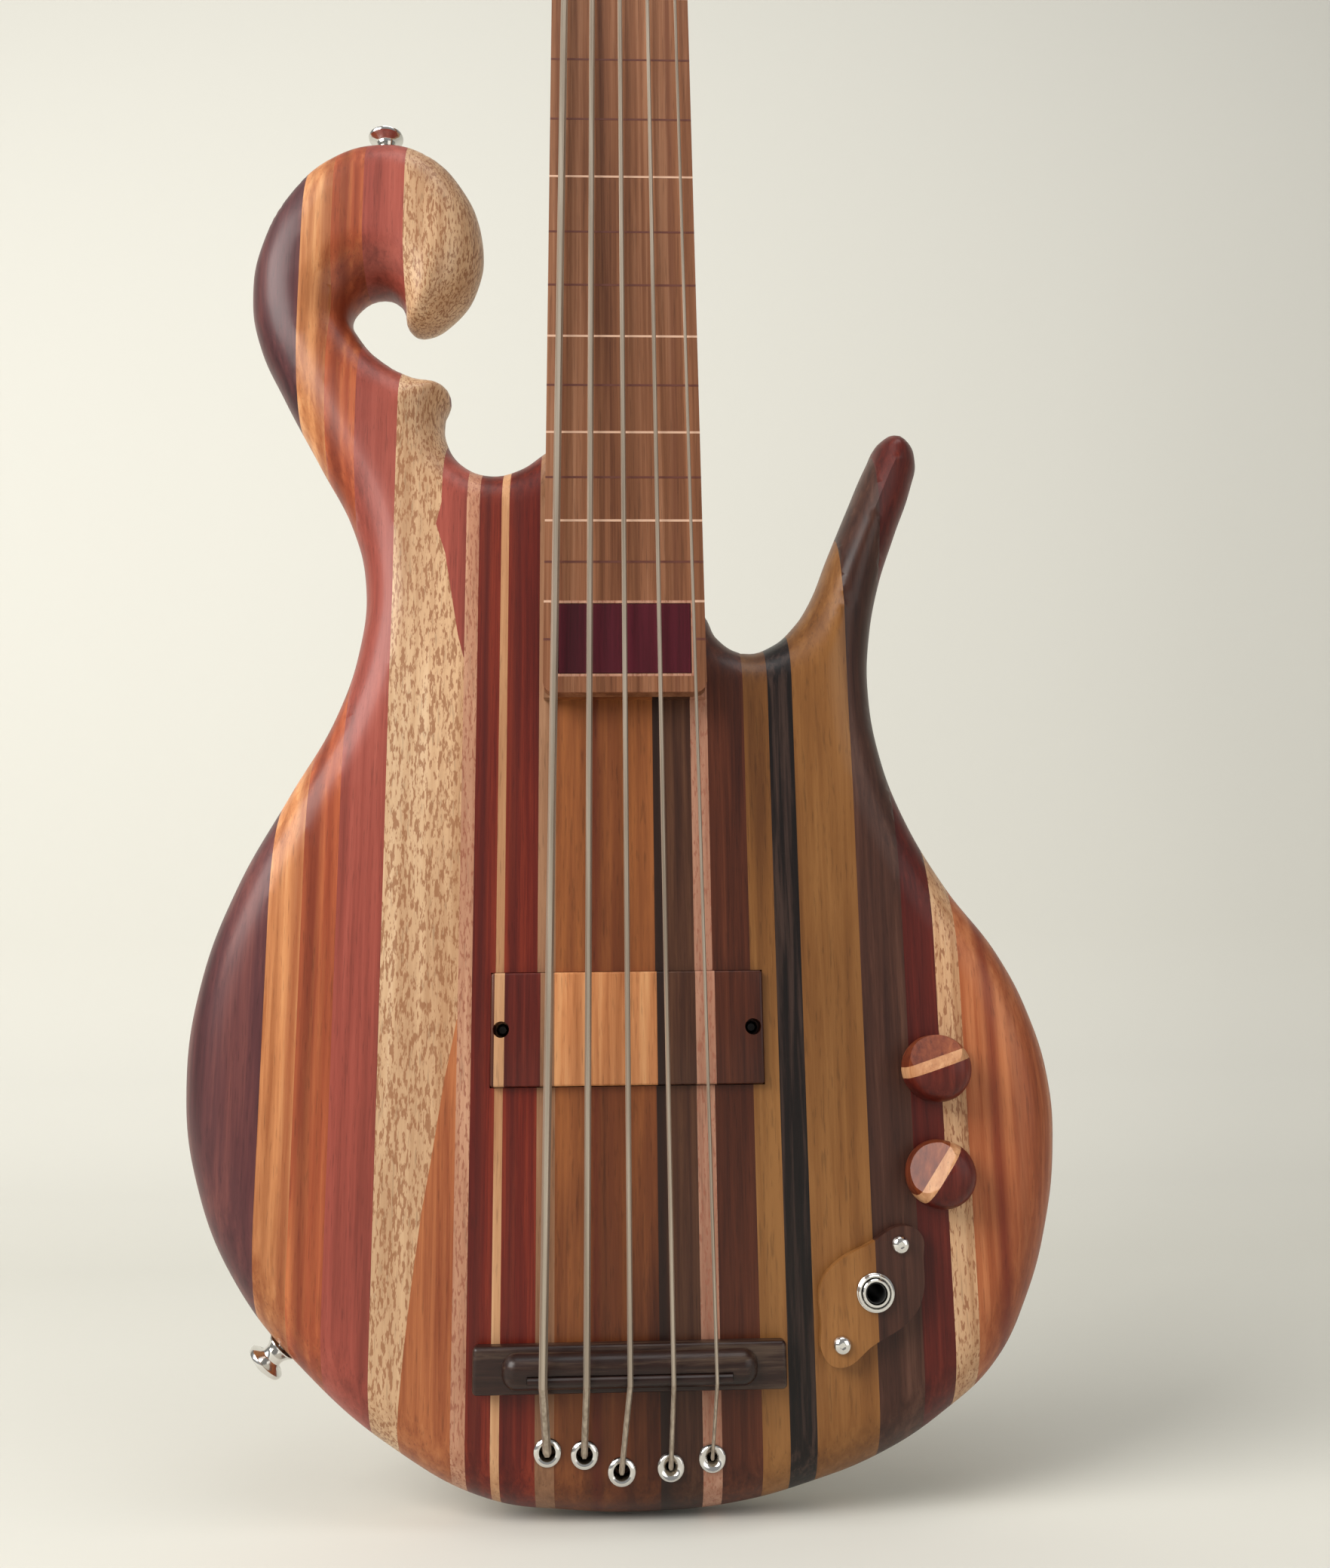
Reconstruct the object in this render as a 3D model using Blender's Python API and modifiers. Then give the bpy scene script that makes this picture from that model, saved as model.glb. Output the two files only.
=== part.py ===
"""Five-string electric bass guitar with a laminated, carved body.

Metres, +Z up along the neck, and the front faces -Y. The origin is the lowest point of the body,
on the centre line of the neck and halfway through the body's thickness.
"""
import math

import bmesh
import bpy
import numpy as np
from mathutils import Matrix, Vector
from mathutils.geometry import convex_hull_2d, delaunay_2d_cdt

MM = 0.001
FIT = 0.3 * MM
FRONT = Vector((0, -1, 0))

# Scale and fingerboard
SCALE_LENGTH = 889 * MM
BRIDGE_LINE = 57 * MM
NUT_Z = BRIDGE_LINE + SCALE_LENGTH
NUT_THICKNESS = 5 * MM
BOARD_TOP = -31 * MM
BOARD_THICKNESS = 7 * MM
BOARD_WIDTH_AT_END = 60.8 * MM
BOARD_WIDTH_AT_NUT = 51.4 * MM
LAST_FRET = 23
BOARD_TAIL = 6.5 * MM
BOARD_CORNER = 4 * MM
INLAY_DEPTH = 2.4 * MM
INLAY_FRET = 21
INLAY_DROP = 1.0 * MM
INLAY_WIDTH = 49.2 * MM
INLAY_LENGTH = 26.9 * MM

# Body
BODY_DEPTH = 40 * MM
EDGE_ROUND = 20 * MM
EDGE_RINGS = (0.09, 0.34, 1.0)
STRIP_GAP = 0.3 * MM
OUTLINE_STEPS = 3

# Neck and headstock
NECK_DEPTH_AT_NUT = 15.5 * MM
NECK_DEPTH_AT_HEEL = 18.5 * MM
HEEL_START = 335 * MM
HEEL_END = 455 * MM
HEAD_ANGLE = math.radians(10)
HEAD_THICKNESS = 16 * MM
NECK_MARGIN_LEFT = 1.9 * MM
NECK_MARGIN_RIGHT = 0.6 * MM
TRUSS_WIDTH = 6 * MM
TRUSS_DEPTH = 9 * MM

# Strings, from the bass side: name, radius, and the place of the ferrule that takes it
STRINGS = (
    ("b", 1.45 * MM, -28.0 * MM, 24.0 * MM),
    ("e", 1.15 * MM, -15.5 * MM, 23.0 * MM),
    ("a", 0.95 * MM, -3.0 * MM, 17.5 * MM),
    ("d", 0.80 * MM, 13.5 * MM, 18.5 * MM),
    ("g", 0.60 * MM, 27.5 * MM, 21.0 * MM),
)
SADDLE_SPACING = 14.35 * MM
NUT_SPACING = 9.4 * MM
ACTION_AT_NUT = 0.7 * MM
BALL_RADIUS = 2.9 * MM
BALL_LENGTH = 4 * MM
BALL_GAP = 0.35 * MM

# Bridge
BRIDGE_LENGTH = 106 * MM
BRIDGE_LOW = 43.5 * MM
BRIDGE_HIGH = 59 * MM
BRIDGE_FOOT = 7 * MM
RIDGE_LENGTH = 86 * MM
RIDGE_WIDTH = 12 * MM
RIDGE_HEIGHT = 12.2 * MM
SADDLE_RADIUS = 1.5 * MM
SADDLE_LENGTH = 68 * MM
SADDLE_Z = 48.8 * MM
SADDLE_SINK = 0.9 * MM

# String ferrules
FERRULE_RIM = 4.65 * MM
FERRULE_RIM_HEIGHT = 0.8 * MM
FERRULE_SLEEVE = 3.9 * MM
FERRULE_BORE = 2.3 * MM
FERRULE_LENGTH = 8 * MM
STRING_HOLE = 2.0 * MM
BALL_HOLE_DEPTH = 7 * MM

# Pickup
PICKUP_LENGTH = 97.4 * MM
PICKUP_WIDTH = 40 * MM
PICKUP_LOW = 144 * MM
PICKUP_PROUD = 3 * MM
PICKUP_HEIGHT = 13 * MM
PICKUP_WALL = 3 * MM
PICKUP_END_BLOCK = 11 * MM
PICKUP_POCKET = 18 * MM
PICKUP_SCREW_X = 45 * MM
PICKUP_SCREW_HOLE = 2.3 * MM
COIL_HALF_LENGTH = 34 * MM
COIL_HALF_WIDTH = 13 * MM
COIL_HEIGHT = 14 * MM

# Controls: knob centres, and circles whose hull is the cavity behind them
VOLUME_PLACE = (109.5 * MM, 148.5 * MM)
TONE_PLACE = (109.0 * MM, 112.3 * MM)
JACK_PLACE = (84.3 * MM, 73.6 * MM)
CAVITY_CIRCLES = (
    (84 * MM, 74 * MM, 17 * MM),
    (107 * MM, 112 * MM, 18 * MM),
    (107 * MM, 150 * MM, 18 * MM),
)
CAVITY_TOP_WOOD = 9 * MM
COVER_THICKNESS = 2.7 * MM
COVER_LEDGE = 6 * MM
KNOB_RADIUS = 11.6 * MM
KNOB_HEIGHT = 16 * MM
KNOB_RIM = 8 * MM
KNOB_LIFT = 0.8 * MM
KNOB_RECESS = 8 * MM
KNOB_RECESS_DEPTH = 5 * MM
VOLUME_RIDGE_TURN = math.radians(18)
TONE_RIDGE_TURN = math.radians(55)
SHAFT_RADIUS = 3 * MM
POT_RADIUS = 12 * MM
POT_HEIGHT = 9 * MM
POT_BUSHING = 4.6 * MM
CHANNEL_RADIUS = 2.5 * MM
CHANNEL_Z = 160 * MM
CHANNEL_Y = -6 * MM
WIRE_RADIUS = 1.2 * MM

# Jack
JACK_PLATE_THICKNESS = 5 * MM
JACK_BUSHING = 4.7 * MM
JACK_BORE = 3.4 * MM
JACK_BARREL = 8.5 * MM
JACK_BARREL_LENGTH = 26 * MM
JACK_STAND_OUT = 2.8 * MM
JACK_NUT_RADIUS = 6.45 * MM
JACK_NUT_HEIGHT = 2.2 * MM
JACK_HOLE = 10.5 * MM
JACK_PLATE_OUTLINE = (
    (96.0, 95.2), (101.2, 92.4), (101.6, 84.0), (100.6, 71.5), (96.6, 65.0), (83.0, 56.5),
    (71.5, 49.6), (66.2, 52.6), (65.4, 64.0), (65.8, 76.5), (70.8, 82.8), (83.0, 89.3),
)
JACK_PLATE_SCREWS = ((93.8 * MM, 89.0 * MM), (72.2 * MM, 56.8 * MM))
DOME_RADIUS = 3.1 * MM
DOME_HEIGHT = 2 * MM

# Tuners: side of the headstock and place along it, for each string
TUNER_PLACES = (
    (-27 * MM, 46 * MM), (-27 * MM, 89 * MM), (-27 * MM, 132 * MM),
    (27 * MM, 103 * MM), (27 * MM, 58 * MM),
)
POST_RADIUS = 5.8 * MM
POST_WAIST = 4.2 * MM
POST_HEIGHT = 21 * MM
POST_WAIST_LOW = 4.5 * MM
POST_WAIST_HIGH = 15 * MM
PLATE_THICKNESS = 2 * MM
PLATE_WIDTH = 30 * MM
PLATE_ABOVE = 13 * MM
PLATE_BELOW = 22 * MM
WHEEL_GAP = 1.2 * MM
WHEEL_RADIUS = 8.5 * MM
WHEEL_THICKNESS = 5 * MM
AXLE_RADIUS = 3.4 * MM
WORM_RADIUS = 3.4 * MM
WORM_HALF_LENGTH = 6 * MM
WORM_SHAFT = 2.5 * MM
LUG_THICKNESS = 2.6 * MM
LUG_HALF_WIDTH = 4.6 * MM
BUTTON_START = 20 * MM
BUTTON_LENGTH = 22 * MM
BUTTON_RADIUS = 11.5 * MM
BUTTON_FLATNESS = 0.34
WRAP_TURNS = 2
WRAP_STEPS = 12

# Small fasteners
PICKUP_SCREW_LENGTH = 20 * MM
PLATE_SCREW_LENGTH = 16 * MM
SCREW_RADIUS = 1.1 * MM
SCREW_HEAD = 2.4 * MM
SCREW_HEAD_HEIGHT = 1.0 * MM
STRAP_BASE = 7.3 * MM
STRAP_WAIST = 3.8 * MM
STRAP_HEIGHT = 9 * MM
STRAP_SCREW_RADIUS = 2.0 * MM
STRAP_SCREW_LENGTH = 24 * MM
STRAP_SCREW_HEAD = 4.2 * MM

# Body outline seen from the front, in millimetres, clockwise from the lowest point. A third value
# of 1 marks a corner. The two corners beside the neck lie inside it, where the neck covers them.
BODY_OUTLINE = (
    (5, 0), (-20, 1), (-50, 5.5), (-82, 22), (-112, 46), (-139, 77), (-155, 112), (-160.5, 145),
    (-157.5, 182), (-146, 218), (-128, 253), (-112, 283), (-103.5, 312), (-102, 337),
    (-108, 362), (-122, 389), (-138, 419), (-149, 443), (-152.5, 463), (-150, 485),
    (-140, 508), (-123, 526), (-100, 533.5), (-82, 529.5), (-67, 515), (-58.5, 492),
    (-60, 473), (-69, 458), (-82, 450.2), (-88, 451.5), (-90, 458.5), (-94, 465),
    (-101, 467.8), (-108.5, 463.5), (-111.8, 455), (-107.5, 445), (-98, 434.5), (-85, 427),
    (-73.5, 424.2), (-70.4, 420), (-72.5, 411), (-71.5, 400), (-64, 388.5), (-53, 384),
    (-42, 386.5), (-32.8, 393), (-29, 396, 1), (29, 330, 1), (33, 323.5), (37, 315.5),
    (47, 309.5), (58, 312.5), (67, 320.5), (74, 331), (82, 350), (91, 371), (99.5, 390),
    (105, 399.5), (111, 402.3), (117, 399), (119.8, 391), (117.5, 380), (110, 360),
    (102, 337), (97.2, 314), (96, 294), (99, 269), (107, 244), (122, 216), (140, 191),
    (151, 167), (156.5, 143), (156.5, 120), (152, 94), (143, 68), (130, 46), (110, 29.5),
    (88, 17), (62, 8), (35, 2),
)

# Headstock outline in its own plane, in millimetres: across, and up from the back of the nut
HEAD_OUTLINE = (
    (-25.7, 0, 1), (-26.5, 8), (-33, 22), (-42, 38), (-45.5, 62), (-45, 100), (-44, 135),
    (-39, 163), (-25, 183), (-6, 192), (12, 187), (26, 170), (36, 148), (43, 122), (45, 90),
    (44, 60), (40, 38), (32, 22), (26.5, 8), (25.7, 0, 1),
)

# Strip edges across the body, from the bass side. The neck's own strips take theirs from its width.
BASS_WING_EDGE = -55.8 * MM
NECK_LEFT_EDGE = -(BOARD_WIDTH_AT_END / 2 + NECK_MARGIN_LEFT)
GREY_EDGE = -25.8 * MM
CORE_EDGE = 10.2 * MM
DARK_EDGE = 24.5 * MM
NECK_RIGHT_EDGE = BOARD_WIDTH_AT_END / 2 + NECK_MARGIN_RIGHT
BROWN_EDGE = 44.8 * MM
OLIVE_EDGE = 54.2 * MM
EBONY_EDGE = 63.5 * MM
HEAD_BASE = 932 * MM
BODY_SIDE = 200 * MM
BODY_TOP = 600 * MM
ABOVE_ALL = 1.5
BELOW_ALL = -0.1

# Colours, roughness and metallic value of each finish
FINISHES = {
    "amber wood": ((0.52, 0.26, 0.10), 0.3, 0.0),
    "rust wood": ((0.40, 0.13, 0.06), 0.3, 0.0),
    "crimson wood": ((0.22, 0.04, 0.03), 0.25, 0.0),
    "pale wood": ((0.70, 0.48, 0.32), 0.3, 0.0),
    "grey wood": ((0.32, 0.24, 0.17), 0.3, 0.0),
    "orange wood": ((0.38, 0.17, 0.06), 0.3, 0.0),
    "dark wood": ((0.09, 0.05, 0.04), 0.3, 0.0),
    "brown wood": ((0.20, 0.09, 0.05), 0.3, 0.0),
    "olive wood": ((0.36, 0.22, 0.09), 0.3, 0.0),
    "black wood": ((0.02, 0.015, 0.015), 0.15, 0.0),
    "board wood": ((0.33, 0.17, 0.11), 0.45, 0.0),
    "inlay purple": ((0.09, 0.01, 0.02), 0.4, 0.0),
    "bone": ((0.85, 0.80, 0.68), 0.35, 0.0),
    "chrome": ((0.78, 0.78, 0.78), 0.1, 1.0),
    "steel": ((0.60, 0.58, 0.55), 0.3, 1.0),
    "brass": ((0.78, 0.60, 0.30), 0.3, 1.0),
    "plastic": ((0.03, 0.03, 0.03), 0.5, 0.0),
    "wire cover": ((0.45, 0.04, 0.03), 0.5, 0.0),
}


def fret_z(number):
    """Height of a fret position above the origin."""
    return BRIDGE_LINE + SCALE_LENGTH * 2 ** (-number / 12)


BOARD_END = fret_z(LAST_FRET) - BOARD_TAIL
BOARD_BOTTOM = BOARD_TOP + BOARD_THICKNESS
INLAY_HIGH = fret_z(INLAY_FRET) - INLAY_DROP
INLAY_LOW = INLAY_HIGH - INLAY_LENGTH
BODY_FRONT = -BODY_DEPTH / 2
BODY_BACK = BODY_DEPTH / 2
NUT_TOP = NUT_Z + NUT_THICKNESS
SADDLE_TOP = BODY_FRONT - FIT - RIDGE_HEIGHT - 2 * SADDLE_RADIUS + SADDLE_SINK
PICKUP_MIDDLE = PICKUP_LOW + PICKUP_WIDTH / 2
CAVITY_FRONT = BODY_FRONT + CAVITY_TOP_WOOD
COVER_SEAT = BODY_BACK - COVER_THICKNESS - FIT
HEAD_FRAME = (
    Matrix.Translation((0, BOARD_BOTTOM, NUT_TOP)) @ Matrix.Rotation(-HEAD_ANGLE, 4, "X")
)


def reset_scene():
    for obj in list(bpy.data.objects):
        bpy.data.objects.remove(obj, do_unlink=True)
    for collection in list(bpy.data.collections):
        bpy.data.collections.remove(collection)
    made = []
    for name in ("bass_guitar", "cutters"):
        collection = bpy.data.collections.new(name)
        bpy.context.scene.collection.children.link(collection)
        made.append(collection)
    return made


PARTS, CUTTERS = reset_scene()


def finish(name):
    """Principled material for one of the finishes."""
    material = bpy.data.materials.get(name)
    if material is None:
        color, roughness, metallic = FINISHES[name]
        material = bpy.data.materials.new(name)
        material.use_nodes = True
        shader = material.node_tree.nodes["Principled BSDF"]
        shader.inputs["Base Color"].default_value = (*color, 1)
        shader.inputs["Roughness"].default_value = roughness
        shader.inputs["Metallic"].default_value = metallic
    return material


def as_part(obj, finish_name):
    """Moves an object from the cutters to the parts and gives it its finish."""
    CUTTERS.objects.unlink(obj)
    PARTS.objects.link(obj)
    obj.hide_render = False
    obj.display_type = "TEXTURED"
    obj.data.materials.clear()
    obj.data.materials.append(finish(finish_name))
    return obj


def new_object(name, data):
    """A new object starts among the cutters, shown as wire."""
    obj = bpy.data.objects.new(name, data)
    CUTTERS.objects.link(obj)
    obj.hide_render = True
    obj.display_type = "WIRE"
    return obj


def from_bmesh(name, bm, matrix=None):
    mesh = bpy.data.meshes.new(name)
    bm.to_mesh(mesh)
    bm.free()
    obj = new_object(name, mesh)
    if matrix is not None:
        obj.matrix_world = matrix
    return obj


def as_mesh(obj, name=None):
    """Replaces an object with the mesh that its modifiers or its curve make."""
    bpy.context.view_layer.update()
    graph = bpy.context.evaluated_depsgraph_get()
    mesh = bpy.data.meshes.new_from_object(obj.evaluated_get(graph), depsgraph=graph)
    bm = bmesh.new()
    bm.from_mesh(mesh)
    bmesh.ops.remove_doubles(bm, verts=bm.verts, dist=0.001 * MM)
    bm.to_mesh(mesh)
    bm.free()
    final_name = name or obj.name
    matrix = obj.matrix_world.copy()
    bpy.data.objects.remove(obj, do_unlink=True)
    made = new_object(final_name, mesh)
    made.matrix_world = matrix
    return made


def smooth(obj, degrees=35):
    obj.data.shade_smooth()
    obj.data.set_sharp_from_angle(angle=math.radians(degrees))
    return obj


def boolean(target, cutter, operation="DIFFERENCE"):
    modifier = target.modifiers.new(operation.title(), "BOOLEAN")
    modifier.operation = operation
    modifier.solver = "EXACT"
    modifier.object = cutter
    return target


def cut(target, cutters):
    for cutter in cutters:
        boolean(target, cutter)
    return as_mesh(target)


def bevelled(obj, width, segments=2, degrees=40):
    modifier = obj.modifiers.new("Bevel", "BEVEL")
    modifier.width = width
    modifier.segments = segments
    modifier.limit_method = "ANGLE"
    modifier.angle_limit = math.radians(degrees)
    return obj


def box(name, low, high, frame=None):
    """A box between two corners, with its origin at its centre."""
    low, high = Vector(low), Vector(high)
    bm = bmesh.new()
    bmesh.ops.create_cube(bm, size=1)
    bmesh.ops.scale(bm, vec=high - low, verts=bm.verts)
    place = Matrix.Translation((low + high) / 2)
    return from_bmesh(name, bm, frame @ place if frame else place)


def axis_frame(origin, axis):
    """Frame at the origin whose Z axis points along the axis."""
    turn = Vector((0, 0, 1)).rotation_difference(Vector(axis)).to_matrix().to_4x4()
    return Matrix.Translation(origin) @ turn


def rod(name, radius, start, end, sides=12):
    """A cylinder from start to end."""
    start, end = Vector(start), Vector(end)
    bm = bmesh.new()
    bmesh.ops.create_cone(
        bm, cap_ends=True, segments=sides, radius1=radius, radius2=radius,
        depth=(end - start).length,
    )
    return from_bmesh(name, bm, axis_frame((start + end) / 2, end - start))


def turned(name, profile, frame, sides=12, ring=False):
    """A solid of revolution round the frame's Z axis.

    The profile lists radius and height down the outer side. A ring's profile goes on up its bore.
    """
    bm = bmesh.new()
    verts = [bm.verts.new((radius, 0, height)) for radius, height in profile]
    for first, second in zip(verts, verts[1:]):
        bm.edges.new((first, second))
    if ring:
        bm.edges.new((verts[-1], verts[0]))
    obj = from_bmesh(name, bm, frame)
    screw = obj.modifiers.new("Turn", "SCREW")
    screw.axis = "Z"
    screw.steps = sides
    screw.render_steps = sides
    screw.use_merge_vertices = True
    screw.merge_threshold = 0.001 * MM
    return as_mesh(obj)


def screw_solid(name, frame, length, head_radius, head_height, sides=8):
    """A round-headed wood screw. The frame's Z axis leaves the head, and Z = 0 is its seat."""
    profile = (
        (0, head_height), (head_radius * 0.6, head_height), (head_radius, head_height * 0.35),
        (head_radius, 0), (SCREW_RADIUS, 0), (SCREW_RADIUS, -length), (0, -length - SCREW_RADIUS),
    )
    return as_part(smooth(turned(name, profile, frame, sides)), "chrome")


def screw_hole(frame, radius, length, sides=6):
    """Cutter for the shank of a screw, with room round it."""
    reach = radius + FIT
    top = frame @ Vector((0, 0, 1 * MM))
    bottom = frame @ Vector((0, 0, -length - reach - FIT))
    return rod("screw_hole", reach / math.cos(math.pi / sides), top, bottom, sides)


def curve_loop(name, anchors, steps):
    """Closed Bezier curve through anchors given in millimetres, smooth except at the corners."""
    curve = bpy.data.curves.new(name, "CURVE")
    curve.dimensions = "2D"
    curve.resolution_u = steps
    curve.render_resolution_u = steps
    spline = curve.splines.new("BEZIER")
    spline.bezier_points.add(len(anchors) - 1)
    spline.use_cyclic_u = True
    for point, anchor in zip(spline.bezier_points, anchors):
        point.co = (anchor[0] * MM, anchor[1] * MM, 0)
    for point, anchor in zip(spline.bezier_points, anchors):
        handle = "VECTOR" if len(anchor) > 2 else "AUTO"
        point.handle_left_type = handle
        point.handle_right_type = handle
    return curve


def polygon_curve(name, points):
    """Closed straight-sided curve through points given in metres."""
    curve = bpy.data.curves.new(name, "CURVE")
    curve.dimensions = "2D"
    spline = curve.splines.new("POLY")
    spline.points.add(len(points) - 1)
    spline.use_cyclic_u = True
    for point, place in zip(spline.points, points):
        point.co = (place[0], place[1], 0, 1)
    return curve


def plate(name, curve, front, back, frame=None):
    """A flat piece with the curve as its outline, between two depths along Y."""
    curve.fill_mode = "BOTH"
    curve.extrude = (back - front) / 2
    obj = new_object(name, curve)
    upright = Matrix.Translation((0, (front + back) / 2, 0)) @ Matrix.Rotation(math.pi / 2, 4, "X")
    obj.matrix_world = frame @ upright if frame else upright
    return as_mesh(obj)


def hull_curve(name, circles, grow, steps=20):
    """Outline of the convex hull of circles, each grown by the same amount."""
    points = []
    for across, up, radius in circles:
        for step in range(steps):
            angle = 2 * math.pi * step / steps
            reach = radius + grow
            points.append((across + reach * math.cos(angle), up + reach * math.sin(angle)))
    return polygon_curve(name, [points[index] for index in convex_hull_2d(points)])


def tube(name, points, radius, finish_name, radii=None):
    """A round tube along straight runs between the points, with filled caps."""
    curve = bpy.data.curves.new(name, "CURVE")
    curve.dimensions = "3D"
    curve.bevel_depth = radius
    curve.bevel_resolution = 1
    curve.use_fill_caps = True
    spline = curve.splines.new("POLY")
    spline.points.add(len(points) - 1)
    for index, place in enumerate(points):
        spline.points[index].co = (*place, 1)
        spline.points[index].radius = radii[index] if radii else 1
    return as_part(smooth(as_mesh(new_object(name, curve))), finish_name)


def loop_distance(points, loop):
    """Distance of each point from the closed loop of straight sides."""
    points = np.asarray(points)[:, None, :]
    start = np.asarray(loop)[None, :, :]
    side = np.roll(start, -1, axis=1) - start
    share = np.sum((points - start) * side, axis=2) / np.sum(side * side, axis=2)
    nearest = start + np.clip(share, 0, 1)[..., None] * side
    return np.min(np.linalg.norm(points - nearest, axis=2), axis=1)


def outline_loop():
    """Points of the body's outline, in order."""
    obj = new_object("outline", curve_loop("outline", BODY_OUTLINE, OUTLINE_STEPS))
    bpy.context.view_layer.update()
    graph = bpy.context.evaluated_depsgraph_get()
    mesh = obj.evaluated_get(graph).to_mesh()
    loop = [(vert.co.x, vert.co.y) for vert in mesh.vertices]
    bpy.data.objects.remove(obj, do_unlink=True)
    return loop


def inset_points(loop, inset):
    """Points the same distance in from the loop, left out where the loop is too narrow."""
    loop = np.asarray(loop)
    along = np.roll(loop, -1, axis=0) - np.roll(loop, 1, axis=0)
    along /= np.linalg.norm(along, axis=1)[:, None]
    inward = np.stack([along[:, 1], -along[:, 0]], axis=1)
    moved = loop + inset * inward
    moved = moved[loop_distance(moved, loop) > 0.62 * inset]
    kept = []
    for point in moved:
        if all(np.linalg.norm(point - other) > 0.28 * inset + 1.6 * MM for other in kept):
            kept.append(point)
    return [tuple(point) for point in kept]


def carved_depth(distance):
    """Half the body's thickness at a distance in from its outline: a quarter ellipse."""
    share = min(distance / EDGE_ROUND, 1)
    return BODY_DEPTH / 2 * math.sqrt(1 - (1 - share) ** 2)


def carved_blank(name, loop):
    """The body as one piece: a front and a back sheet that meet in the outline."""
    count = len(loop)
    inner = []
    for ring in EDGE_RINGS:
        inner += inset_points(loop, ring * EDGE_ROUND)
    for _ in range(2):
        flat = [Vector(point) for point in list(loop) + inner]
        points, _edges, faces = delaunay_2d_cdt(flat, [], [range(count)], 1, 0.001 * MM)[:3]
        distances = loop_distance([tuple(point) for point in points], loop)
        distances[distances < 0.01 * MM] = 0
        thin = [face for face in faces if all(distances[index] == 0 for index in face)]
        inner += [tuple(sum((points[i] for i in face), Vector((0, 0))) / 3) for face in thin]
    bm = bmesh.new()
    sheets = []
    for side in (-1, 1):
        sheets.append([
            bm.verts.new((point.x, side * carved_depth(distance), point.y))
            for point, distance in zip(points, distances)
        ])
    for face in faces:
        bm.faces.new([sheets[0][index] for index in face])
        bm.faces.new([sheets[1][index] for index in reversed(face)])
    bmesh.ops.remove_doubles(bm, verts=bm.verts, dist=0.001 * MM)
    bmesh.ops.recalc_face_normals(bm, faces=bm.faces)
    bmesh.ops.dissolve_limit(
        bm, angle_limit=math.radians(0.5), verts=bm.verts, edges=bm.edges,
    )
    return from_bmesh(name, bm)


def blend(start, end, share):
    """Smooth change from start to end as the share goes from 0 to 1."""
    share = min(max(share, 0), 1)
    return start + (end - start) * share * share * (3 - 2 * share)


def board_width(z):
    """Width of the fingerboard and the neck at a height."""
    share = (z - BOARD_END) / (NUT_Z - BOARD_END)
    return BOARD_WIDTH_AT_END + (BOARD_WIDTH_AT_NUT - BOARD_WIDTH_AT_END) * share


def neck_ring(z):
    """Corner points of the neck's cross-section at a height: flat on top, round behind."""
    half_width = board_width(min(z, NUT_Z)) / 2
    fall = max(z - NUT_TOP, 0)
    top = BOARD_BOTTOM + fall * math.tan(HEAD_ANGLE) + (FIT if fall else 0)
    along = (z - HEEL_END) / (NUT_Z - HEEL_END)
    neck_depth = NECK_DEPTH_AT_HEEL + (NECK_DEPTH_AT_NUT - NECK_DEPTH_AT_HEEL) * max(along, 0)
    heel = (z - HEEL_START) / (HEEL_END - HEEL_START)
    back = blend(BODY_BACK - 1 * MM, BOARD_BOTTOM + neck_depth, heel)
    power = 2 / blend(9, 2.3, heel)
    steps = 12
    ring = []
    for step in range(steps + 1):
        angle = math.pi * step / steps
        across = math.copysign(abs(math.cos(angle)) ** power, math.cos(angle))
        down = math.sin(angle) ** power if 0 < step < steps else 0
        ring.append((half_width * across, top + (back - top) * down, z))
    return ring


def neck_blank():
    """The neck from inside the body to the headstock, lofted through its cross-sections."""
    heel_steps = 8
    heights = [BOARD_END, HEEL_START]
    heights += [
        HEEL_START + (HEEL_END - HEEL_START) * (step + 1) / heel_steps for step in range(heel_steps)
    ]
    heights += [HEEL_END + (NUT_Z - HEEL_END) * (step + 1) / 4 for step in range(4)]
    heights += [NUT_TOP, NUT_TOP + 14 * MM]
    bm = bmesh.new()
    rings = [[bm.verts.new(point) for point in neck_ring(z)] for z in heights]
    for low, high in zip(rings, rings[1:]):
        for index in range(len(low)):
            after = (index + 1) % len(low)
            bm.faces.new((low[index], low[after], high[after], high[index]))
    bm.faces.new(rings[0])
    bm.faces.new(reversed(rings[-1]))
    bmesh.ops.recalc_face_normals(bm, faces=bm.faces)
    return from_bmesh("neck_blank", bm)


def head_blank():
    curve = curve_loop("head_blank", HEAD_OUTLINE, 2)
    return plate("head_blank", curve, 0, HEAD_THICKNESS, HEAD_FRAME)


def tuner_frame(index):
    """Frame at a string post: Z leaves the headstock's face, X points to the near edge."""
    across, up = TUNER_PLACES[index]
    side = math.copysign(1, across)
    out = HEAD_FRAME.to_3x3() @ Vector((0, -1, 0))
    sideways = Vector((side, 0, 0))
    matrix = Matrix((sideways, out.cross(sideways), out)).transposed().to_4x4()
    return Matrix.Translation(HEAD_FRAME @ Vector((across, 0, up))) @ matrix


WHEEL_TOP = -HEAD_THICKNESS - FIT - PLATE_THICKNESS - WHEEL_GAP
WHEEL_MIDDLE = WHEEL_TOP - WHEEL_THICKNESS / 2
WORM_OFFSET = WHEEL_RADIUS + WORM_RADIUS + FIT


def nut_ward(index):
    """Which way along the tuner frame's Y axis the nut lies."""
    return -1 if TUNER_PLACES[index][0] > 0 else 1


def worm_frame(index):
    """Frame on a worm's axis: Z points out to the button."""
    offset = Vector((0, nut_ward(index) * WORM_OFFSET, WHEEL_MIDDLE))
    return tuner_frame(index) @ Matrix.Translation(offset) @ Matrix.Rotation(math.pi / 2, 4, "Y")


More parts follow.
